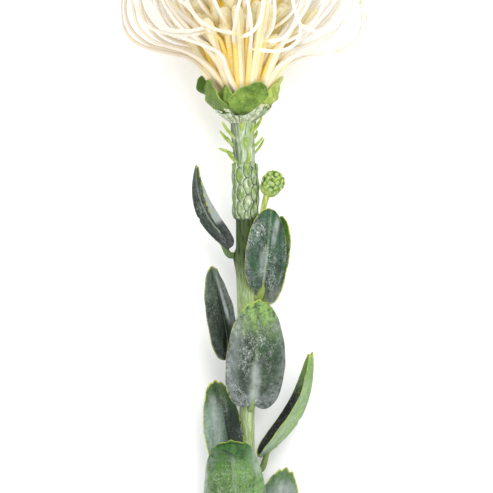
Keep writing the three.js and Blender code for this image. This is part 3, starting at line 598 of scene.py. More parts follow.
class Finish:
    """A material whose surface is one Principled shader."""

    def __init__(self, name, roughness, shine):
        self.material = bpy.data.materials.new(name)
        self.material.use_nodes = True
        self.tree = self.material.node_tree
        self.surface = self.tree.nodes["Principled BSDF"]
        self.surface.inputs["Roughness"].default_value = roughness
        self.surface.inputs["Specular IOR Level"].default_value = shine
        self.grain = self.node("ShaderNodeTexCoord", {}, {}).outputs["Object"]

    def node(self, kind, settings, inputs):
        """A node of a type: its settings first, then values or links on its sockets."""
        made = self.tree.nodes.new(kind)
        for name, value in settings.items():
            setattr(made, name, value)
        for key, value in inputs.items():
            self.plug(made.inputs[key], value)
        return made

    def plug(self, socket, value):
        """Links a value or socket, or sets a number or a colour."""
        if isinstance(value, Value):
            value = value.socket
        if isinstance(value, bpy.types.NodeSocket):
            self.tree.links.new(value, socket)
        elif socket.type == "RGBA":
            socket.default_value = (*value[:3], 1.0)
        else:
            socket.default_value = value

    def math(self, operation, *values):
        """One Math node."""
        made = self.node("ShaderNodeMath", {"operation": operation}, dict(enumerate(values)))
        return Value(self, made.outputs[0])

    def values(self, *names):
        """Point values of the mesh."""
        made = [self.node("ShaderNodeAttribute", {"attribute_name": name}, {}) for name in names]
        return [Value(self, node.outputs["Fac"]) for node in made]

    def noise(self, scale, detail=4, rough=0.55, stretch=(1, 1, 1)):
        """Noise of about scale waves in a metre, on Object coordinates that are stretched along their axes
        and then turned by the tilt."""
        placed = {"Vector": self.grain, "Rotation": (-TILT, 0, 0), "Scale": stretch}
        place = self.node("ShaderNodeMapping", {"vector_type": "POINT"}, placed).outputs["Vector"]
        inputs = {"Vector": place, "Scale": scale, "Detail": detail, "Roughness": rough}
        return Value(self, self.node("ShaderNodeTexNoise", {}, inputs).outputs["Fac"])

    def coats(self, base, *coats):
        """Colours laid over a base one after another, each by its own share from 0 to 1."""
        for colour, share in coats:
            settings = {"data_type": "RGBA", "clamp_factor": True}
            base = self.node("ShaderNodeMix", settings, {0: share, 6: base, 7: colour}).outputs[2]
        return base

    def colour(self, base, *coats):
        """The surface's colour."""
        self.plug(self.surface.inputs["Base Color"], self.coats(base, *coats))

    def glow(self, strength, base, *coats):
        """A painted glow: a little light of a colour, for thin pale flesh that light passes through, which
        also lifts the shade between parts.
        """
        self.plug(self.surface.inputs["Emission Color"], self.coats(base, *coats))
        self.surface.inputs["Emission Strength"].default_value = strength

    def roughness(self, value):
        """The surface's roughness."""
        self.plug(self.surface.inputs["Roughness"], value)

    def relief(self, height, depth):
        """A bump whose height goes from 0 to 1 over a depth in metres."""
        made = self.node("ShaderNodeBump", {}, {"Height": height, "Distance": depth, "Strength": 1.0})
        self.plug(self.surface.inputs["Normal"], made.outputs["Normal"])


def style_finish(settings):
    """Styles: from cream to nearly white one by one, and painted whiter to the right and in front, where the
    light falls. Golden inside the cone, with a painted glow there for the light that passes through them,
    with faint tan patches and a yellow tip."""
    finish = Finish("style_cream", 0.42, 0.2)
    share, gold, tone = finish.values("share", "gold", "tone")
    finish.colour(
        settings.style_colour,
        # Painted light: whiter to the right and in front, and by a seeded draw
        (STYLE_WHITE, tone),
        (STYLE_FOOT_YELLOW, gold),
        (srgb(220, 200, 164), finish.noise(160, 3).between(0.46, 0.76, 0, 0.35)),
        (srgb(232, 212, 130), share.between(0.955, 0.975, 0, 0.6)),
    )
    # Painted glow: faint all over and golden inside the cone, for light that passes through the styles
    finish.glow(0.2, (0.012, 0.011, 0.008), (srgb(240, 202, 74), gold))
    finish.roughness(finish.noise(900, 2).between(0.3, 0.7, 0.34, 0.52))
    finish.relief(finish.noise(1800, 3), 0.00012)
    return finish.material


def perianth_finish(settings):
    """Rolled perianths: pale cream sides between thin golden seams, a saturated golden colour inside the
    cone, and downy. A painted glow, faint all over and stronger along the seams and inside the cone, stands
    in for light that passes through them."""
    finish = Finish("perianth_cream", 0.6, 0.2)
    crest, gold, tone = finish.values("crest", "gold", "tone")
    # Painted light: perianths to the right are painted paler, and each also by a seeded draw
    sides = finish.coats(settings.perianth_colour, (srgb(250, 244, 204), tone))
    finish.colour(
        srgb(232, 200, 84),
        (sides, crest.between(0, 0.34, 0.15, 1)),
        (GOLD, gold),
        (srgb(252, 248, 230), finish.noise(900).between(0.5, 0.7, 0, 0.5)),
        (srgb(226, 202, 134), finish.noise(420, 3).between(0.54, 0.74, 0, 0.35)),
    )
    # Painted glow: faint all over, stronger along the seams and inside the cone
    seams = (srgb(232, 204, 84), crest.between(0, 0.3, 0.55, 0))
    finish.glow(0.22, (0.04, 0.036, 0.02), seams, (srgb(238, 206, 60), gold))
    finish.relief(finish.noise(2200, 3), 0.0002)
    return finish.material


def core_finish():
    """The golden ground between perianths, with a painted glow for the light that comes through the pale
    flesh round it.
    """
    finish = Finish("core_gold", 0.7, 0.1)
    finish.colour(GOLD, (srgb(246, 224, 120), finish.noise(420, 5).between(0.35, 0.65)))
    # Painted glow for light through the pale flesh round the core
    finish.glow(0.2, srgb(232, 204, 44))
    finish.relief(finish.noise(900), 0.0004)
    return finish.material


def bract_finish(settings):
    """Bracts: mottled mid green with pale down, a soft crease right of the middle with painted shade in it,
    painted shade at the foot and a thin pale edge. Some are painted a dark saturated green as shade, and some
    are lime."""
    finish = Finish("bract_green", 0.5, 0.25)
    share, rise, across, lime, deep = finish.values("share", "along", "across", "lime", "deep")
    mottle = finish.noise(200, 5, 0.62).between(0.38, 0.62)
    off = across - 0.25
    crease = off.between(-0.02, 0.04) * off.between(0.04, 0.34, 1, 0) * rise.between(0.3, 0.5)
    # Painted shade at the foot, where the bracts meet the cup
    shaded = rise.between(0.02, 0.22, 1, 0) * finish.noise(300, 3).between(0.36, 0.56, 0.35, 1)
    finish.colour(
        BRACT_SHADE,
        (settings.bract_colour, mottle),
        (srgb(184, 200, 90), lime * mottle.between(0, 1, 0.55, 1)),
        # Painted shade: bracts that stand in shade are painted a dark saturated green
        (srgb(66, 98, 2), deep),
        (srgb(184, 204, 118), finish.noise(900, 4, 0.65).between(0.5, 0.68, 0, 0.35) * (1 - deep)),
        # Painted shade in the crease
        (BRACT_SHADE, crease * 0.55),
        (srgb(26, 38, 12), shaded),
        (BRACT_EDGE, share.between(0.93, 0.99, 0, 0.55) * rise.between(0.2, 0.5)),
    )
    finish.roughness(finish.noise(600, 3).between(0.3, 0.7, 0.4, 0.62))
    finish.relief(finish.noise(700, 5, 0.65) + crease * 0.4, 0.0003)
    return finish.material


def cup_finish():
    """The cup: pale frosted green in streaks that run up it, painted shade in the low gaps between some,
    its inside painted dark as shade, and a dry pale fringe."""
    finish = Finish("cup_frost", 0.6, 0.2)
    edge, streak, inside = finish.values("edge", "streak", "inside")
    frost = finish.noise(600, 4, 0.6).between(0.4, 0.62) * 0.45 + streak * 0.55
    # Painted shade in the low gaps between streaks
    gap = streak.between(0.18, 0.4, 0.95, 0) * finish.noise(300, 3).between(0.4, 0.5)
    finish.colour(
        srgb(112, 138, 82),
        (CUP_FROST, frost),
        (srgb(46, 66, 30), gap * edge.between(0, 0.3, 0.4, 1)),
        (srgb(220, 226, 166), edge.between(0.4, 0.9) * frost.between(0, 1, 0.5, 0.9)),
        # Painted shade on the cup's inside
        (srgb(30, 42, 16), inside),
    )
    finish.relief(finish.noise(800, 4, 0.6) + streak, 0.0003)
    return finish.material


def stem_finish(settings):
    """The stem: pale streaked green below, olive under the scales, grey-green with thin dark lines above
    them, and frosted scales with dark seams to their right and pale ones to their left. The seams are dark
    joints, made darker still on their shaded side as painted shade, and the pale ones are painted highlights,
    as light from the right gives them. The frost on each scale is stronger at its middle, partly a painted
    highlight on its dome, and the left side of the scales and of the stem above them is painted darker as
    shade."""
    finish = Finish("stem_green", 0.5, 0.25)
    height, away, lean, left, line = finish.values("height", "away", "lean", "left", "line")
    cut, pith = finish.values("cut", "pith")
    streak = finish.noise(620, 4, 0.6, (1, 0.04, 1)).between(0.4, 0.6)
    fine = finish.noise(1700, 3, 0.6, (1, 0.02, 1)).between(0.42, 0.6)
    frost = finish.noise(800, 4, 0.6, (1, 0.4, 1)).between(0.4, 0.62)
    lime = finish.noise(150, 2).between(0.48, 0.58) * height.between(178, 198, 0.4, 1)
    low = finish.coats(
        srgb(174, 198, 132),
        (settings.stem_colour, streak),
        (srgb(128, 154, 90), fine.between(0, 0.3, 0.4, 0)),
        (srgb(228, 238, 200), fine.between(0.7, 1, 0, 0.5)),
    )
    olive = finish.coats(srgb(30, 46, 20), (srgb(72, 92, 44), streak), (srgb(112, 134, 80), fine * 0.35))
    scale = finish.coats(
        srgb(114, 142, 76),
        # Frost, stronger at each scale's middle: partly a painted highlight on its dome
        (srgb(218, 230, 202), frost * away.between(0.1, 0.8, 1, 0.5)),
        # Painted shade on the stem's left side
        (srgb(92, 122, 62), left * 0.7),
        (srgb(130, 168, 34), lime * away.between(0.3, 0.7, 0.75, 0.1)),
        # Dark seams, darkest on each scale's left as painted shade
        (srgb(44, 66, 28), away.between(0.78, 0.92) * lean.between(-0.1, 0.35, 0.95, 0.5)),
        # Painted highlight: a pale rim on each scale's right
        (SCALE_RIM_HIGHLIGHT, away.between(0.7, 0.84) * lean.between(0.2, 0.6, 0, 0.7)),
        (srgb(246, 252, 238), away.between(0.95, 1) * frost.between(0, 0.5, 0.6, 1)),
    )
    upper = finish.coats(
        STEM_GREY,
        (srgb(228, 236, 214), fine.between(0, 1, 0, 0.6)),
        (srgb(150, 178, 108), finish.noise(260, 3, 0.6, (1, 0.3, 1)).between(0.46, 0.62, 0, 0.6)),
        # Painted shade on the stem's left side
        (srgb(66, 90, 54), left * streak.between(0, 1, 0.95, 0.4)),
        (srgb(52, 76, 44), line * streak.between(0.2, 0.7, 0.25, 0.85)),
    )
    finish.colour(
        low,
        (olive, height.between(132, 160)),
        (scale, height.between(174.5, 176)),
        (upper, height.between(200.5, 202.5)),
        (finish.coats(srgb(196, 208, 158), (srgb(232, 234, 204), pith)), cut),
    )
    finish.roughness(streak.between(0, 1, 0.42, 0.6))
    finish.relief(streak * 0.6 + fine * 0.4, 0.00025)
    return finish.material


def bractlet_finish():
    """Awl-shaped bractlets: lime, pale and grey at the foot, with a yellow tip."""
    finish = Finish("bractlet_lime", 0.5, 0.25)
    (share,) = finish.values("share")
    finish.colour(
        BRACTLET_LIME,
        (srgb(134, 166, 56), finish.noise(500, 3).between(0.4, 0.62)),
        (srgb(178, 198, 138), share.between(0.1, 0.45, 0.9, 0)),
        (srgb(224, 212, 118), share.between(0.86, 1, 0, 0.8)),
    )
    finish.relief(finish.noise(1800, 3), 0.00012)
    return finish.material


def bud_finish(settings):
    """The side bud: frosted green bumps, some with lime tips, a darker, greener ground between them that is
    painted shade, and a yellow-green stalk."""
    finish = Finish("bud_green", 0.55, 0.25)
    crest, on_stalk = finish.values("crest", "stalk")
    mottle = finish.noise(620).between(0.4, 0.6)
    bumps = finish.coats(settings.bud_colour, (srgb(160, 186, 114), mottle))
    fibre = finish.noise(700, 3, 0.6, (1, 0.1, 1)).between(0.4, 0.6)
    stalk = finish.coats(srgb(160, 182, 80), (srgb(204, 214, 130), fibre))
    finish.colour(
        # Painted shade: the ground between the bumps is darker
        srgb(64, 98, 24),
        (bumps, crest.between(0.04, 0.46)),
        (srgb(214, 226, 182), crest.between(0.35, 0.5) * crest.between(0.6, 0.8, 0.5, 0) * mottle),
        (BUD_TIP, crest.between(0.66, 0.9) * finish.noise(300, 2).between(0.44, 0.54, 0.1, 1)),
        (stalk, on_stalk),
    )
    finish.relief(finish.noise(2000, 3), 0.0002)
    return finish.material


def leaf_finish(settings, leaf):
    """A leaf. Its halves, tip and foot each lean to a green of their own, with darker streaks and a nearly
    black fold. The halves and the foot are partly painted light and shade, a half that a fold turns from the
    light being darker, and the black fold is painted shade. Powder lies on it in a haze and in flecks, the
    rolled edges and bands of sheen are grey as painted sheen, and the rib is pale."""
    finish = Finish(leaf["name"] + "_green", 0.4, 0.22)
    across, rise, share, on_stalk = finish.values("across", "along", "share", "stalk")
    at_foot, at_tip, strength = leaf["line"]
    side = across - (rise * (at_tip - at_foot) + at_foot)
    from_rib = abs(side)

    def halves(values, soft=0.1):
        return side.between(-soft, soft, *values)

    foot = rise.between(0.02, 0.3, 1, 0) * halves(leaf["footed"], 0.12)
    streak = finish.noise(260, 5, 0.62, (1, 0.35, 1)).between(0.42, 0.64, 0, 0.6)
    pitted = finish.noise(760, 4, 0.65).between(0.5, 0.62, 0, 0.5) * (1 - leaf["dark"] * 0.5)
    # Painted shade: the foot of the fold is painted nearly black
    folded = from_rib.between(0, 0.45, leaf["dark"], 0) * rise.between(0.1, 0.62, 1, 0)
    # Painted sheen: the rolled edges are painted grey where they turn to the light
    rolled = share.between(0.62, 0.9) * halves(leaf["rolled"]) * rise.between(0.72, 0.92, 1, 0.1)
    coats = [
        # The halves' colours are partly painted light and shade: a half turned from the light is darker
        (srgb(*leaf["right"]), halves((0, 1), 0.12)),
        (srgb(*leaf["top"]), rise.between(0.55, 0.88, 0, 0.95)),
        # The foot's colour, near black as painted shade on some leaves
        (srgb(*leaf["low"]), foot),
        (settings.leaf_shade, (streak + pitted) * leaf["mottled"]),
        (srgb(10, 15, 11), folded),
        (LEAF_ROLLED_SHEEN, rolled * finish.noise(500).between(0.35, 0.6, 0.1, 0.95)),
    ]
    for low_side, high_side, wide, strong, start, end in leaf["sheen"]:
        off = abs(across - (rise * (high_side - low_side) + low_side))
        ends = rise.between(start, start + 0.15) * rise.between(end - 0.15, end, 1, 0)
        broken = finish.noise(340, 4, 0.6, (1, 0.4, 1)).between(0.36, 0.56, 0.45, 1)
        coats.append((LEAF_SHEEN, off.between(wide * 0.2, wide, strong, 0) * ends * broken))
    patch = finish.noise(110, 3, 0.55, (1, 0.4, 1)).between(0.36, 0.6, 0.12, 1)
    patch = patch * rise.between(0.7, 0.95, 1, 0.3)
    haze = finish.noise(420, 4, 0.6, (1, 0.5, 1)).between(0.38, 0.66)
    fleck = finish.noise(1150, 2, 0.6, (1, 0.7, 1)).between(0.5, 0.6)
    speck = finish.noise(1900, 2, 0.5).between(0.58, 0.63) * patch
    clean = rise.between(0.05, 0.5, 1 - 0.95 * leaf["dark"], 1)
    powder = (haze * 0.22 + fleck * (haze * 0.35 + 0.25) + speck * 0.75) * patch * clean * leaf["powder"]
    rib = from_rib.between(0.01, 0.08, 1, 0) * rise.between(0, 0.92, 1, 0.3) * strength
    worn = finish.noise(520, 2).between(0.4, 0.58, 0.1, 1) * rise.between(leaf["edged"] - 0.1, leaf["edged"])
    finish.colour(
        srgb(*leaf["left"]),
        *coats,
        (POWDER, powder),
        (LEAF_RIB, rib * 0.75),
        (settings.leaf_edge, share.between(0.97, 0.994) * halves(leaf["margins"]) * worn),
        (TOOTH_TIP, share.between(0.975, 1) * rise.between(0.92, 1, 0, 0.4)),
        (srgb(*leaf["stalk"]), on_stalk),
    )
    finish.roughness(powder.between(0, 0.6, 0.3, 0.6))
    finish.relief(haze * 0.5 + fleck * 0.3 + rib * 0.4 - streak * 0.5 - pitted * 0.5, 0.0004)
    return finish.material


# The bloom


def running_sum(steps):
    """The sum of all steps before each one."""
    return np.cumsum(steps, axis=1) - steps


def style_paths(item, rim, heading, length):
    """Paths of styles as (styles, points, 3). A style starts on the foot's disc, runs straight in a cone,
    bends outwards at an elbow and curls up and in: its slope from the axis is eased from one angle to the
    next, and radius and height are the running sums of its sine and cosine."""
    item, rim, heading = (np.asarray(x, float)[:, None] for x in (item, rim, heading))

    def vary(use, amount):
        return (draw(item, use) - 0.5) * 2 * amount

    cone = np.radians(4 + 29 * rim**2)
    bent = np.radians(22 + 58 * rim + vary(1, 4))
    curled = np.radians(-22 + 4 * rim + vary(2, 14))
    straight = 37 - 21 * rim
    whole = length + vary(3, 3)
    gone = whole * np.linspace(0, 1, STYLE_POINTS)
    bend = blend(cone, bent, ease(gone, straight, straight + STYLE_ELBOW))
    slope = blend(bend, curled, ease(gone, straight + STYLE_ELBOW * 0.5, whole * 1.05))
    step = whole / (STYLE_POINTS - 1)
    radius = (STYLE_FOOT_RADIUS - 0.5) * rim + running_sum(np.sin(slope) * step)
    height = STYLE_FOOT + 12 * (1 - rim) + running_sum(np.cos(slope) * step)
    turn = heading + vary(4, 0.08) + vary(5, 0.34) * (gone / whole) ** 2
    return round_axis(radius, turn, height)


def build_styles(settings):
    """All styles as tubes: those of the rule, a row that the plant rests on, and those in front. Radius:
    thick at the foot, thin from the middle on, swelling and then pointed at the tip. Each path wavers by a
    slow sine. Those to the right and in front are whiter, a painted light, and the ones inside the cone are
    golden up to where they bend, with a painted glow there."""
    length = settings.style_length * 1000
    rule = np.arange(settings.styles)
    resting = RESTING_ITEM + np.arange(len(RESTING_TURNS))
    paths = np.concatenate([
        style_paths(rule, np.sqrt((rule + 0.5) / settings.styles), rule * GOLDEN_TURN, length),
        style_paths(resting, np.ones(len(resting)), RESTING_TURNS, length),
        [through(route, STYLE_POINTS) for route in FRONT_STYLES],
    ])
    item = np.arange(len(paths))[:, None]
    share = np.linspace(0, 1, STYLE_POINTS)
    phase = draw(item, 11) * tau
    waver = 0.45 * ease(share, 0.15, 0.5) * np.sin(share * 9 + phase)
    paths = pressed(paths + waver[..., None] * outward(phase), 0.95, 4)
    foot_radius, tip_radius = half_width(settings.style_foot_width), half_width(settings.style_tip_width)
    slim = blend(foot_radius, tip_radius, ease(share, 0, 0.5))
    swell = 1 + 0.28 * np.exp(-(((share - 0.955) / 0.02) ** 2)) - 0.7 * ease(share, 0.965, 1)
    radii = slim * swell * (0.92 + 0.16 * draw(item, 12))
    middle = paths[:, STYLE_POINTS // 2]
    # Painted light: styles to the right and in front are painted whiter, with a seeded draw besides
    rightward = np.clip(middle[:, :1] / 40, -1, 1)
    forward = ease(middle[:, 2:], 8, 26)
    tone = np.clip(0.42 + 0.45 * rightward + 0.45 * forward + 0.5 * (draw(item, 13) - 0.5), 0, 1)
    depth = np.hypot(paths[..., 0] - HEAD_X, paths[..., 2]) / clear_of_styles(paths[..., 1])
    # Golden inside the cone up to the bend; this share also sets a painted glow for light that passes through
    gold = ease(depth, 0.94, 0.8) * ease(share, 0.62, 0.3) * (0.92 - 0.1 * rightward)
    # The front styles get a golden tint and a painted glow at their feet, warming the shade there
    gold[-len(FRONT_STYLES) :] = 0.35 * ease(share, 0.3, 0)
    skin = Skin()
    rings = within_box(laid(tubes(paths, radii, 7)), 0.0001)
    skin.add_rings(rings, share=share[:, None], tone=tone[..., None], gold=gold[..., None])
    skin.piece("styles", style_finish(settings), "flower_head")


def add_perianths(skin, turn, paths, radii, gold):
    """Tubes with six flat sides and the seams between them. They are more yellow and, as painted light, paler
    to the right, with a seeded draw, and golden by the share given, which also sets their painted glow."""
    sides = 12
    flat = 0.5 - 0.5 * np.cos(6 * ring_of(sides))
    rings = laid(tubes(pressed(paths, 3.3, 3), radii[..., None] * (1.02 - 0.11 * flat), sides))
    # Painted light: paler to the right, where the light falls, with a seeded draw
    tone = np.clip(0.45 + 0.5 * np.sin(turn) + 0.4 * (draw(np.arange(len(turn)), 9) - 0.5), 0, 1)
    skin.add_rings(rings, gold=gold[..., None], crest=flat, tone=tone[:, None, None])


def add_inner_perianths(skin, settings):
    """Clubs in a golden spiral on the core's dome. Each leans out, more so low on the dome, and bows with the
    square of its length."""
    item = np.arange(settings.perianths)
    share = (item + 0.5) / settings.perianths
    height = blend(253, 296, share**0.95)
    turn = item * GOLDEN_TURN + 0.7
    lean = blend(radians(66), radians(10), share)
    way = outward(turn) * np.sin(lean)[:, None] + np.cos(lean)[:, None] * UP
    foot = round_axis(along(CORE, height, 1) * 0.8, turn, height)
    length = settings.perianth_length * 1000 * (0.8 + 0.4 * draw(item, 6))
    rise = np.array([0, 0.25, 0.4, 0.5, 0.7, 0.86, 0.96, 1])
    bow = 1.4 * rise**2 * (draw(item, 7)[:, None] - 0.3)
    paths = foot[:, None] + way[:, None] * (rise * length[:, None])[..., None] + bow[..., None] * UP
    club = 0.6 + 0.4 * ease(rise, 0.1, 0.5) - 0.34 * ease(rise, 0.88, 1)
    radii = half_width(settings.perianth_width) * (0.8 + 0.35 * draw(item, 8))[:, None] * club
    add_perianths(skin, turn, paths, radii, ease(rise, 0.65, 0.2))


def add_outer_perianths(skin, settings):
    """Long tubes that fan out of the cup: their distance from the axis grows in step with their height, and a
    little more near the end. Each swells to a barrel with a blunt end."""
    item = np.arange(settings.perianth_tubes)
    rim = np.sqrt(0.1 + 0.68 * (item + 0.5) / settings.perianth_tubes)[:, None]
    turn = item * GOLDEN_TURN + 0.35
    rise = np.array([0, 0.2, 0.4, 0.6, 0.74, 0.8, 0.85, 0.92, 0.97, 0.99, 1])
    top = 276 - 12 * rim + 10 * draw(item, 14)[:, None]
    foot = 233 - 5 * rim
    height = blend(foot, top, rise)
    cone = np.tan(np.radians(5 + 29 * rim**2))
    radius = (STYLE_FOOT_RADIUS - 1.2) * rim + (height - foot) * cone + 6 * rim * rise**2
    sway = 0.12 * (draw(item, 16)[:, None] - 0.5) * rise**2
    paths = round_axis(radius, turn[:, None] + sway, height)
    barrel = 0.7 + 0.3 * ease(rise, 0.72, 0.84) - 0.3 * ease(rise, 0.95, 1)
    radii = half_width(settings.perianth_width) * (0.8 + 0.2 * draw(item, 15))[:, None] * barrel
    gold = ease(radius / clear_of_styles(height), 0.7, 0.5) * ease(rise, 0.84, 0.56)
    add_perianths(skin, turn, paths, radii, gold)


def build_perianths(settings):
    """The rolled perianths, short ones on the core and long ones round it."""
    skin = Skin()
    add_inner_perianths(skin, settings)
    add_outer_perianths(skin, settings)
    skin.piece("perianths", perianth_finish(settings), "flower_head", 42)


def build_core():
    """The core: the solid's radii at each height, with low swellings in a diamond pattern."""
    height = np.linspace(CORE[0, 0], CORE[-1, 0] - 0.4, 60)[:, None]
    turn = ring_of(72)
    swell = 0.35 * np.cos(turn * 11 + height * 0.6) * np.cos(turn * 11 - height * 0.6)
    skin = Skin()
    skin.add_rings(laid(round_axis(along(CORE, height, 1) - 0.6 + swell, turn, height))[None])
    skin.piece("bloom_core", core_finish(), "flower_head")


# The bract cup


def clear_of_styles(height):
    """The least distance from the axis at which a bract clears the cone of styles."""
    return np.maximum(STYLE_FOOT_RADIUS + 1.9 + STYLE_CONE * (height - STYLE_FOOT), 11.2)


def build_bracts(settings):
    """Bracts in polar form: share from middle to rim and angle round it. Height rises with the angle's sine,
    width with its cosine, the belly stands out by an eased rise, waves run round the edge and along it, and
    the twist turns the width from round the cup to straight out of it. Flare widens a bract upwards."""
    share = np.linspace(0.06, 1, 14)[:, None]
    angle = ring_of(72) + pi / 2
    up = np.sin(angle)
    peak = np.where(up > 0, 1 + 0.1 * np.maximum(up, 0) ** 8, 0.82)
    off = FACES * (0.42 - 0.2 * share**3)
    skin = Skin()
    for turn, foot, width, length, belly, nod, flare, lean, twist, wavy, lime, deep in BRACTS:
        ragged = 0.035 * np.sin(5 * angle + turn) + 0.025 * np.sin(9 * angle + 2 * turn)
        ragged = 1 + wavy * share**2 * ragged
        rise = 0.45 + 0.55 * share * ragged * up * peak
        across = width / 2 * share * ragged * np.cos(angle) * (1 + flare * up)
        height = foot + length * rise
        wave = 0.8 * share**2 * np.sin(3 * angle + turn) + 0.45 * share**3 * np.sin(8 * angle + turn)
        keel = 0.6 * np.exp(-((across / 0.9) ** 2)) * ease(rise, 0.1, 0.5)
        spread = CUP_RADIUS - 1.4 + belly * ease(rise, 0, 0.45) - nod * rise**3 + wavy * wave + keel
        twisted = radians(twist) * ease(rise, 0.1, 0.6)
        out = spread + across * np.sin(twisted) + off * np.cos(twisted)
        radius = np.maximum(out, clear_of_styles(height) + off) + 0.5
        round_cup = across * np.cos(twisted) - off * np.sin(twisted)
        heading = np.radians(turn + lean * (rise - 0.5)) + round_cup / radius
        faces = laid(round_axis(radius, heading, height))
        skin.add_plate(faces, share=share, along=rise, across=across / (width / 2), lime=lime, deep=deep)
    skin.piece("bracts", bract_finish(settings), "involucre", 60)


def build_cup():
    """The shallow cup: its wall's profile turned round the axis, with a fringe torn by seeded draws, an
    outside that swells in a ring of small scars, and streaks by seeded draws round it."""
    item = np.arange(160)
    turn = ring_of(len(item))
    row = np.linspace(0, len(CUP_WALL) - 1, 50)
    radius, rise, torn = (np.interp(row, np.arange(len(CUP_WALL)), x)[:, None] for x in CUP_WALL.T)
    tear = 1.3 * (draws_round(item / 5, 32, 3) - 0.5) + 0.6 * (draw(item, 21) - 0.5)
    scar = 0.3 * np.sin(turn * 9 + rise * 2.4) * ease(rise, 0.5, 3)
    fluted = FLUTE_DEPTH * np.cos(FLUTES * turn) * ease(rise, 3, 0)
    middle = blend(CUP_X, HEAD_X - 0.9, rise / 8)
    rings = round_axis(radius + scar + fluted, turn, CUP_FOOT + rise + torn * tear, middle)
    # The cup's inside, which is painted dark as shade
    edge, inside = ease(torn, 0.3, 1.5), ease(row, 7.2, 8)[:, None]
    skin = Skin()
    skin.add_rings(laid(rings)[None], edge=edge, inside=inside, streak=draw(item // 2, 51))
    skin.piece("cup", cup_finish(), "involucre", 60)


# The stem


def scale_pattern(turn, height):
    """Scales in staggered columns that two slow sines shake. away is the distance from the nearest scale's
    middle as a share of its size, by a power sum that makes it long, wide in the middle and pointed at its
    ends. Gives its dome, the root of 1 - away^2.4, away itself, and how far right in it a point lies."""
    column = (turn - radians(10)) / tau * SCALE_COLUMNS + 0.08 * np.sin(height * 0.5 + 3 * turn)
    row = (height - SCALES_FROM) / SCALE_PITCH + 0.07 * np.sin(3 * turn + 1)
    aways, leans = [], []
    for stagger in (0, 1):
        across = (column - stagger) / 2
        across = across - np.round(across)
        up = row - stagger / 2
        up = up - np.round(up)
        aways.append((np.abs(across / 0.315) ** 1.8 + np.abs(up / 0.56) ** 1.8) ** (1 / 1.8))
        leans.append(across / 0.3)
    near = np.minimum(*aways)
    return np.sqrt(np.maximum(0, 1 - near**2.4)), near, np.where(aways[0] < aways[1], *leans)


def leaf_cushion(turn, height):
    """The swelling under each leaf's foot: a bell over the turn, sharp above and long below."""
    swelling = 0
    for leaf in LEAVES:
        foot_turn, foot_height = radians(leaf["foot"][0]), leaf["foot"][1]
        apart = np.arctan2(np.sin(turn - foot_turn), np.cos(turn - foot_turn))
        above = height - foot_height
        fade = np.exp(-((above / np.where(above > 0, 2.2, 6)) ** 2))
        swelling = np.maximum(swelling, 1.5 * fade * np.exp(-((apart / 0.42) ** 2)))
    return swelling


def stem_radius(turn, height):
    """The profile's radius with cushions, scales and flutes."""
    plain = along(STEM_PROFILE, height, 2) + leaf_cushion(turn, height)
    scaly = ease(height, SCALES_FROM - 0.6, SCALES_FROM + 0.2)
    scaly = scaly * ease(height, SCALES_TO + 0.3, SCALES_TO - 0.5)
    fluted = FLUTE_DEPTH * np.cos(FLUTES * turn) * ease(height, SCALES_TO, SCALES_TO + 2)
    return plain + scaly * (1.15 * scale_pattern(turn, height)[0] - 0.1) + fluted


def on_stem(turn, height, off=0):
    """Points on the stem's surface, or off it by more radius."""
    return round_axis(stem_radius(turn, height) + off, turn, height, along(STEM_PROFILE, height, 1))


def shrunk(ring, shares):
    """Copies of a ring drawn in towards its middle, each to a share of its size."""
    middle = ring.mean(0)
    return middle + (ring - middle) * np.array(shares)[:, None, None]


def build_stem(settings):
    """The stem's skin: rings of its radius at each height, close together over the scales, and a slanted cut
    end of rings that shrink to its middle. Thin lines run up it where a seeded draw round the stem is low."""
    lines = 84
    turn = ring_of(168)
    spans = ((0, 174, 140), (174.4, 202, 112), (202.6, STEM_TOP, 30))
    level = np.concatenate([np.linspace(*span) for span in spans])[:, None]
    level = level + CUT_SLANT * np.cos(turn) * (level == 0)
    body = on_stem(turn, level)
    end = shrunk(body[0], (0.25, 0.5, 0.75, 0.93))
    lid = shrunk(body[-1], (0.9, 0.4))
    rings = np.concatenate([end, body, lid])
    level = np.pad(level, ((len(end), len(lid)), (0, 0)), mode="edge")
    cut, pith = np.zeros((2, len(rings), 1))
    cut[: len(end)] = 1
    pith[:3, 0] = (1, 0.8, 0.3)
    # lean tells each scale's left, painted as shade, from its right, painted as a highlight
    away, lean = scale_pattern(turn, level)[1:]
    place = ((turn + 0.07 * np.sin(level * 0.3 + 3 * turn)) / tau * lines) % lines
    line = ease(draws_round(place, lines, 61), 0.34, 0.12)
    # The stem's left side, which is painted darker as shade
    left = ease(-np.sin(turn), 0.1, 0.8)
    skin = Skin()
    skin.add_rings(
        laid(rings)[None], height=level, away=away, lean=lean, line=line, left=left, cut=cut, pith=pith
    )
    skin.piece("stem_skin", stem_finish(settings), "stem", 55)


def build_bractlets():
    """Bractlets: flattened tubes that lean out of the stem and bow outwards, like slim fingers that swell a
    little past their middle and end in a blunt point."""
    turn, height, length, lean = BRACTLETS.T
    turn, lean = np.radians(turn), np.radians(lean)[:, None]
    item = np.arange(len(turn))[:, None]
    root = 1.2
    share = np.concatenate([np.linspace(0, 0.88, 12), [0.94, 0.975, 1]])
    reach = (length + root)[:, None] * share
    out = reach * np.sin(lean) + 2.4 * share * (1 - share)
    sway = (draw(item, 31) - 0.5) * 1.6 * share**2
    away = outward(turn)[:, None]
    paths = on_stem(turn, height, -root)[:, None] + out[..., None] * away
    paths = paths + (reach * np.cos(lean))[..., None] * UP
    paths = paths + sway[..., None] * np.cross(away, UP)
    plump = 0.78 + 0.3 * draw(item, 32)
    radii = plump * (0.74 + 0.2 * np.sin(pi * share)) * np.sqrt(1.02 - share**4)
    skin = Skin()
    skin.add_rings(laid(tubes(paths, radii, 10, 0.8)), share=share[:, None])
    skin.piece("bractlets", bractlet_finish(), "stem")


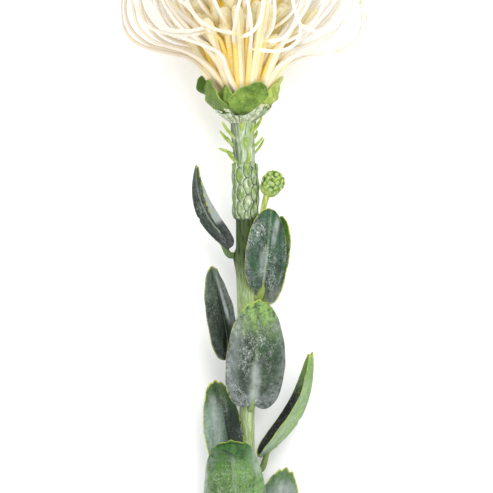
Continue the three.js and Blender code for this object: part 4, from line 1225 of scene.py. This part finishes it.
def stalk_rings(route, radii, ribs, depth):
    """A stalk through the points of a route, with ribs that stand out by a cosine round it."""
    sides = 14
    ribbed = 1 + depth * np.cos(ring_of(sides) * ribs)
    return laid(tubes(through(route, len(radii))[None], radii[None, :, None] * ribbed, sides))


def build_bud(settings):
    """The side bud: a ball drawn out towards its bent stalk, whose skin rises in bumps, each a cosine hill
    round a shaken point of a golden spiral. The stalk starts under the stem's skin."""
    rows, sides, bumps = 84, 132, 56
    tilt = ((np.arange(rows) + 0.5) / rows * pi)[:, None]
    way = round_axis(np.sin(tilt), ring_of(sides), -np.cos(tilt), 0)
    item = np.arange(bumps)
    level = 1 - (2 * item + 1) / bumps
    turn = item * GOLDEN_TURN + 0.3 * (draw(item, 41) - 0.5)
    crest = unit(round_axis(np.sqrt(1 - level**2), turn, level + 0.06 * (draw(item, 42) - 0.5), 0))
    nearest = np.sqrt(np.maximum(0, 2 - 2 * (way @ crest.T))).min(-1)
    rise = np.cos(np.minimum(nearest / 0.3, 1) * pi / 2)
    neck_way = unit(np.array([-0.5, -0.86, -0.05]))
    neck = ease(way @ neck_way, 0.3, 1)
    out = (BUD_RADIUS - 0.15 + 2.3 * neck**1.5) + 0.85 * rise * (1 - 0.8 * neck)
    skin = Skin()
    rings = laid(BUD_PLACE + way * out[..., None])[None]
    skin.add_rings(rings, crest=rise * (1 - neck) + 0.5 * neck, stalk=ease(neck, 0.5, 1))
    foot = on_stem(BUD_STALK_TURN, BUD_STALK_HEIGHT, -ROOTED)
    start = foot + 1.9 * outward(BUD_STALK_TURN)
    route = [foot, start, (7.9, 178, 4), (9.7, 185, 3.7), BUD_PLACE + 2.5 * neck_way]
    radii = BUD_STALK_RADIUS * (0.92 + 0.9 * np.linspace(0, 1, 26) ** 3)
    skin.add_rings(stalk_rings(route, radii, 5, 0.06), crest=0.5, stalk=1)
    skin.piece("side_bud_scales", bud_finish(settings), "side_bud")


# Leaves


def leaf_flat(leaf, length, share, angle):
    """The blade laid out flat: an ellipse that is widest below its middle, lobes beside the narrow notch at
    its foot, and teeth at its tip that fade in with the sixth power of the share."""
    up = np.sin(angle)
    across = leaf["width"] / 2 * np.cos(angle) * (1 - LEAF_TAPER * up)
    reach = np.where(up > 0, (1 - LEAF_MIDDLE) * length, LEAF_MIDDLE * length)
    from_notch = np.abs(np.arctan2(np.cos(angle), -up))
    lobe = leaf["lobe"] * np.sin(pi * np.minimum(from_notch / 1.25, 1)) ** NOTCH_POWER
    from_tip = pi - from_notch
    tooth = np.where(from_tip < TOOTHED, leaf["teeth"] * np.cos(from_tip / TOOTH_STEP * pi), 0)
    return share * across, LEAF_MIDDLE * length + share * (reach * up - lobe) + share**6 * tooth


def leaf_bent(leaf, length, across, up):
    """The blade bent: each half slopes from fold at the midrib to roll at the margin on an arc, and the whole
    bows by a parabola, twists about its length and nods over at its tip."""
    start = radians(leaf["fold"])
    turning = radians(leaf["roll"] - leaf["fold"]) / (leaf["width"] / 2)
    slope = start + turning * np.abs(across)
    sideways = np.sign(across) * (np.sin(slope) - sin(start)) / turning
    channel = (cos(start) - np.cos(slope)) / turning
    share = up / length
    nod = leaf["nod"] * ease(share, 0.8, 1) ** 2
    bow = 4 * leaf["bow"] * share * (1 - share)
    twist = radians(leaf["twist"]) * (share - 0.5)
    x = sideways * np.cos(twist) + channel * np.sin(twist)
    z = channel * np.cos(twist) - sideways * np.sin(twist)
    return np.stack([x, up - nod, z + bow + nod], -1)


def leaf_axes(leaf):
    """The blade's own right, up and facing directions, its foot and its length."""
    base, tip = np.array(leaf["base"], float), np.array(leaf["tip"], float)
    length = np.linalg.norm(tip - base)
    up = (tip - base) / length
    right = unit(np.cross(up, np.array(leaf["faces"], float)))
    return np.stack([right, up, np.cross(right, up)]), base, length


def leaf_angles():
    """Angles round the outline: close steps over the teeth and even ones round the rest."""
    teeth = np.linspace(-2.5, 2.5, 31)[:-1] * TOOTH_STEP
    rest = np.linspace(TOOTHED, tau - TOOTHED, 71)[:-1]
    return pi / 2 + np.concatenate([teeth, rest])


def build_leaf(leaf, settings):
    """One leaf: both faces of the bent blade, half its thickness off its middle surface each way, swelling
    between the grooved midrib and the margin, which wavers, and a petiole that runs into the midrib."""
    axes, base, length = leaf_axes(leaf)
    share = np.concatenate([np.linspace(0.06, 0.9, 16), [0.95, 0.985, 1]])[:, None]
    angle = leaf_angles()
    across, up = leaf_flat(leaf, length, share, angle)
    across = across * np.where(across < 0, *leaf["halves"])
    step = 0.05
    east = leaf_bent(leaf, length, across + step, up) - leaf_bent(leaf, length, across - step, up)
    north = leaf_bent(leaf, length, across, up + step) - leaf_bent(leaf, length, across, up - step)
    half = leaf["width"] / 2
    seed = sum(map(ord, leaf["name"]))
    waver = 0.3 * share**3 * np.sin(5 * angle + seed) + 0.16 * share**3 * np.sin(13 * angle + 2 * seed)
    swell = 0.55 * np.sin(pi * np.minimum(np.abs(across) / half, 1)) * (1 - share**4)
    groove = 0.45 * np.exp(-((across / 1.1) ** 2)) * (1 - 0.5 * share)
    off = waver + swell - groove + FACES * blend(1.3, 0.6, np.sqrt(share)) / 2
    blade = leaf_bent(leaf, length, across, up) + off[..., None] * unit(np.cross(east, north))
    skin = Skin()
    skin.add_plate(laid(base + blade @ axes), share=share, across=across / half, along=up / length, stalk=0)
    petiole = petiole_rings(leaf, axes, base, length)
    skin.add_rings(petiole, share=0.5, across=0.3, along=0.05, stalk=1)
    if leaf["nod"]:
        add_flap(skin, leaf, axes, base, length)
    skin.piece(leaf["name"] + "_blade", leaf_finish(settings, leaf), leaf["name"], 45)


def add_flap(skin, leaf, axes, base, length):
    """The tip folded over the blade's front: a tongue that is round above and drawn down to the right, level
    with the blade at its top and further off it lower down."""
    reach = 6.6
    share = np.linspace(0.08, 1, 10)[:, None]
    angle = ring_of(56) + pi / 2
    up = np.sin(angle)
    drop = np.where(up > 0, 2.6 * up, -reach * np.abs(up) ** 1.6)
    width = reach * np.cos(angle) * np.where(up > 0, 1, 1 + 0.35 * up)
    across = share * (width - 0.62 * np.minimum(drop, 0)) + 0.2
    height = length - 4.9 + share * drop - 0.04 * (across - 1) ** 2
    lift = 0.4 + 2.2 * ease(height, length - 3, length - 13) + FACES * blend(0.5, 0.25, share)
    flap = leaf_bent(leaf, length, across, np.minimum(height, length * 0.995)) + lift[..., None] * FORWARD
    edge = share * blend(0.96, 0.984, ease(up, 0, -0.6))
    skin.add_plate(laid(base + flap @ axes), share=edge, across=across / 14, along=0.97, stalk=0)


def petiole_rings(leaf, axes, base, length):
    """The petiole: a tube from just under the stem's skin that runs in behind the blade's midrib, thinner
    past the notch."""
    turn, height = radians(leaf["foot"][0]), leaf["foot"][1]
    route = [on_stem(turn, height, -ROOTED), on_stem(turn, height + 0.3, SEAT_GAP + 1.3)]
    behind = 1.1 - leaf["fold"] / 50
    for up in (0.06, 0.15):
        route.append(base + leaf_bent(leaf, length, 0.0, up * length) @ axes - axes[2] * behind)
    radii = PETIOLE_RADIUS * blend(1, 0.4, ease(np.linspace(0, 1, 22), 0.35, 0.8))
    return stalk_rings(route, radii, 3, 0.05)


# The stage


def area_light(name, place, target, size, power):
    """A soft square light that faces a point."""
    data = bpy.data.lights.new(name, "AREA")
    data.size = size
    data.energy = power
    light = bpy.data.objects.new(name, data)
    light.location = place
    light.rotation_euler = (Vector(target) - Vector(place)).to_track_quat("-Z", "Y").to_euler()
    bpy.context.scene.collection.objects.link(light)


def build_floor(radius):
    """A pale disc that the flower lies on, a little under the level of the frame."""
    sides = 64
    turn = ring_of(sides)
    rim = np.stack([radius * np.cos(turn), radius * np.sin(turn), np.full(sides, -0.0002)], -1)
    mesh = bpy.data.meshes.new("floor")
    mesh.from_pydata(rim.tolist(), [], [list(range(sides))])
    finish = Finish("floor_pale", 0.9, 0.1)
    finish.colour((0.99, 0.99, 0.99))
    mesh.materials.append(finish.material)
    floor = bpy.data.objects.new("floor", mesh)
    bpy.context.scene.collection.objects.link(floor)


def build_camera(settings):
    """A long lens square to the stem, over the middle of the photograph's frame."""
    data = bpy.data.cameras.new("camera")
    data.sensor_width = SENSOR
    data.lens = SENSOR * settings.camera_distance / settings.frame_width
    data.clip_end = 100
    data.dof.use_dof = False
    camera = bpy.data.objects.new("camera", data)
    square = np.array([0, -sin(TILT), cos(TILT)])
    camera.location = laid(FRAME_MIDDLE) + settings.camera_distance * square
    camera.rotation_euler = (TILT, 0, 0)
    bpy.context.scene.collection.objects.link(camera)
    bpy.context.scene.camera = camera


# Settings, operators and the panel


def colour_setting(name, description, default):
    """A colour that a user can change."""
    return FloatVectorProperty(
        name=name, description=description, subtype="COLOR", size=3, min=0, max=1, default=default
    )


def length_setting(name, description, default):
    """A length that a user can change, in metres."""
    return FloatProperty(name=name, description=description, default=default, min=0, unit="LENGTH")


def count_setting(name, description, default, least, most):
    """A number of pieces that a user can change."""
    return IntProperty(name=name, description=description, default=default, min=least, max=most)


class BloomSettings(PropertyGroup):
    """Sizes, numbers and colours of the styles and perianths"""

    styles: count_setting("Styles", "Styles that the rule places", 80, 20, 160)
    style_length: length_setting("Style length", "Length of a style along its curve", 0.075)
    style_foot_width: length_setting("Style foot width", "Width of a style at its foot", 0.0031)
    style_tip_width: length_setting("Style tip width", "Width of a style past its middle", 0.00165)
    style_colour: colour_setting("Style colour", "Colour of the darker styles", STYLE_CREAM)
    perianths: count_setting("Perianths", "Short inner perianths", 96, 20, 300)
    perianth_tubes: count_setting("Perianth tubes", "Long outer perianths", 38, 0, 90)
    perianth_length: length_setting("Perianth length", "Length of a perianth out of the core", 0.0108)
    perianth_width: length_setting("Perianth width", "Width of a perianth's head", 0.0062)
    perianth_colour: colour_setting("Perianth colour", "Colour of the darker perianths", PERIANTH)


class GreenSettings(PropertyGroup):
    """Colours of the green parts"""

    bract_colour: colour_setting("Bract colour", "Colour of the cup's bracts", BRACT_GREEN)
    stem_colour: colour_setting("Stem colour", "Colour of the lower stem", STEM_PALE)
    bud_colour: colour_setting("Bud colour", "Colour of the side bud", BUD_GREEN)
    leaf_shade: colour_setting("Leaf shade", "Deep green that shows in patches on the leaves", LEAF_DEEP)
    leaf_edge: colour_setting("Leaf edge", "Colour of the leaves' margins", LEAF_LIME)


class StageSettings(PropertyGroup):
    """Sizes of the view and the floor"""

    camera_distance: length_setting("Camera distance", "From the middle of the frame to the camera", 5)
    frame_width: length_setting("Frame width", "Width of the view at the stem", 0.22678)
    floor_radius: length_setting("Floor radius", "Radius of the pale floor", 12)


class ProteaOperator:
    """What all the operators share: one undo step each."""

    bl_options = {"REGISTER", "UNDO"}


class PROTEA_OT_bloom(ProteaOperator, Operator):
    """Builds the bloom's styles, perianths and core"""

    bl_idname = "protea.bloom"
    bl_label = "Bloom"

    def execute(self, context):
        settings = context.scene.protea_bloom
        build_core()
        build_perianths(settings)
        build_styles(settings)
        return {"FINISHED"}


class PROTEA_OT_cup(ProteaOperator, Operator):
    """Builds the bracts and the cup under the bloom"""

    bl_idname = "protea.cup"
    bl_label = "Bract Cup"

    def execute(self, context):
        build_bracts(context.scene.protea_green)
        build_cup()
        return {"FINISHED"}


class PROTEA_OT_stem(ProteaOperator, Operator):
    """Builds the stem with its scales and bractlets"""

    bl_idname = "protea.stem"
    bl_label = "Stem"

    def execute(self, context):
        build_stem(context.scene.protea_green)
        build_bractlets()
        return {"FINISHED"}


class PROTEA_OT_bud(ProteaOperator, Operator):
    """Builds the side bud on its stalk"""

    bl_idname = "protea.bud"
    bl_label = "Side Bud"

    def execute(self, context):
        build_bud(context.scene.protea_green)
        return {"FINISHED"}


class PROTEA_OT_leaves(ProteaOperator, Operator):
    """Builds the leaves with their petioles"""

    bl_idname = "protea.leaves"
    bl_label = "Leaves"

    def execute(self, context):
        for leaf in LEAVES:
            build_leaf(leaf, context.scene.protea_green)
        return {"FINISHED"}


class PROTEA_OT_stage(ProteaOperator, Operator):
    """Builds the pale floor, the soft light and the camera"""

    bl_idname = "protea.stage"
    bl_label = "Stage"

    def execute(self, context):
        settings = context.scene.protea_stage
        build_floor(settings.floor_radius)
        build_camera(settings)
        for light in LIGHTS:
            area_light(*light)
        world = bpy.data.worlds.new("studio")
        world.use_nodes = True
        background = world.node_tree.nodes["Background"]
        background.inputs["Color"].default_value = (1, 1, 1, 1)
        background.inputs["Strength"].default_value = DAYLIGHT
        context.scene.world = world
        context.scene.view_settings.view_transform = "Standard"
        return {"FINISHED"}


OPERATORS = [
    PROTEA_OT_stage, PROTEA_OT_bloom, PROTEA_OT_cup, PROTEA_OT_stem, PROTEA_OT_bud, PROTEA_OT_leaves,
]


class PROTEA_PT_panel(Panel):
    """Lists the flower's builders and settings"""

    bl_label = "Pincushion Protea"
    bl_space_type = "VIEW_3D"
    bl_region_type = "UI"
    bl_category = "Protea"

    def draw(self, context):
        for group in (context.scene.protea_bloom, context.scene.protea_green, context.scene.protea_stage):
            box = self.layout.box()
            for name in group.__annotations__:
                box.prop(group, name)
        for operator in OPERATORS:
            self.layout.operator(operator.bl_idname)


CLASSES = [BloomSettings, GreenSettings, StageSettings, *OPERATORS, PROTEA_PT_panel]


def register():
    """Adds the classes, and the settings to each scene."""
    for item in CLASSES:
        bpy.utils.register_class(item)
    bpy.types.Scene.protea_bloom = PointerProperty(type=BloomSettings)
    bpy.types.Scene.protea_green = PointerProperty(type=GreenSettings)
    bpy.types.Scene.protea_stage = PointerProperty(type=StageSettings)


def unregister():
    """Takes the settings and the classes away again."""
    for name in ("protea_bloom", "protea_green", "protea_stage"):
        delattr(bpy.types.Scene, name)
    for item in reversed(CLASSES):
        bpy.utils.unregister_class(item)


def plain(bounds):
    """Both corners of a box as lists of numbers."""
    return [[float(x) for x in corner] for corner in bounds]


def main():
    """Registers the classes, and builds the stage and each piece."""
    register()
    for name in ("stage", "bloom", "cup", "stem", "bud", "leaves"):
        getattr(bpy.ops.protea, name)()


if __name__ == "__main__":
    main()
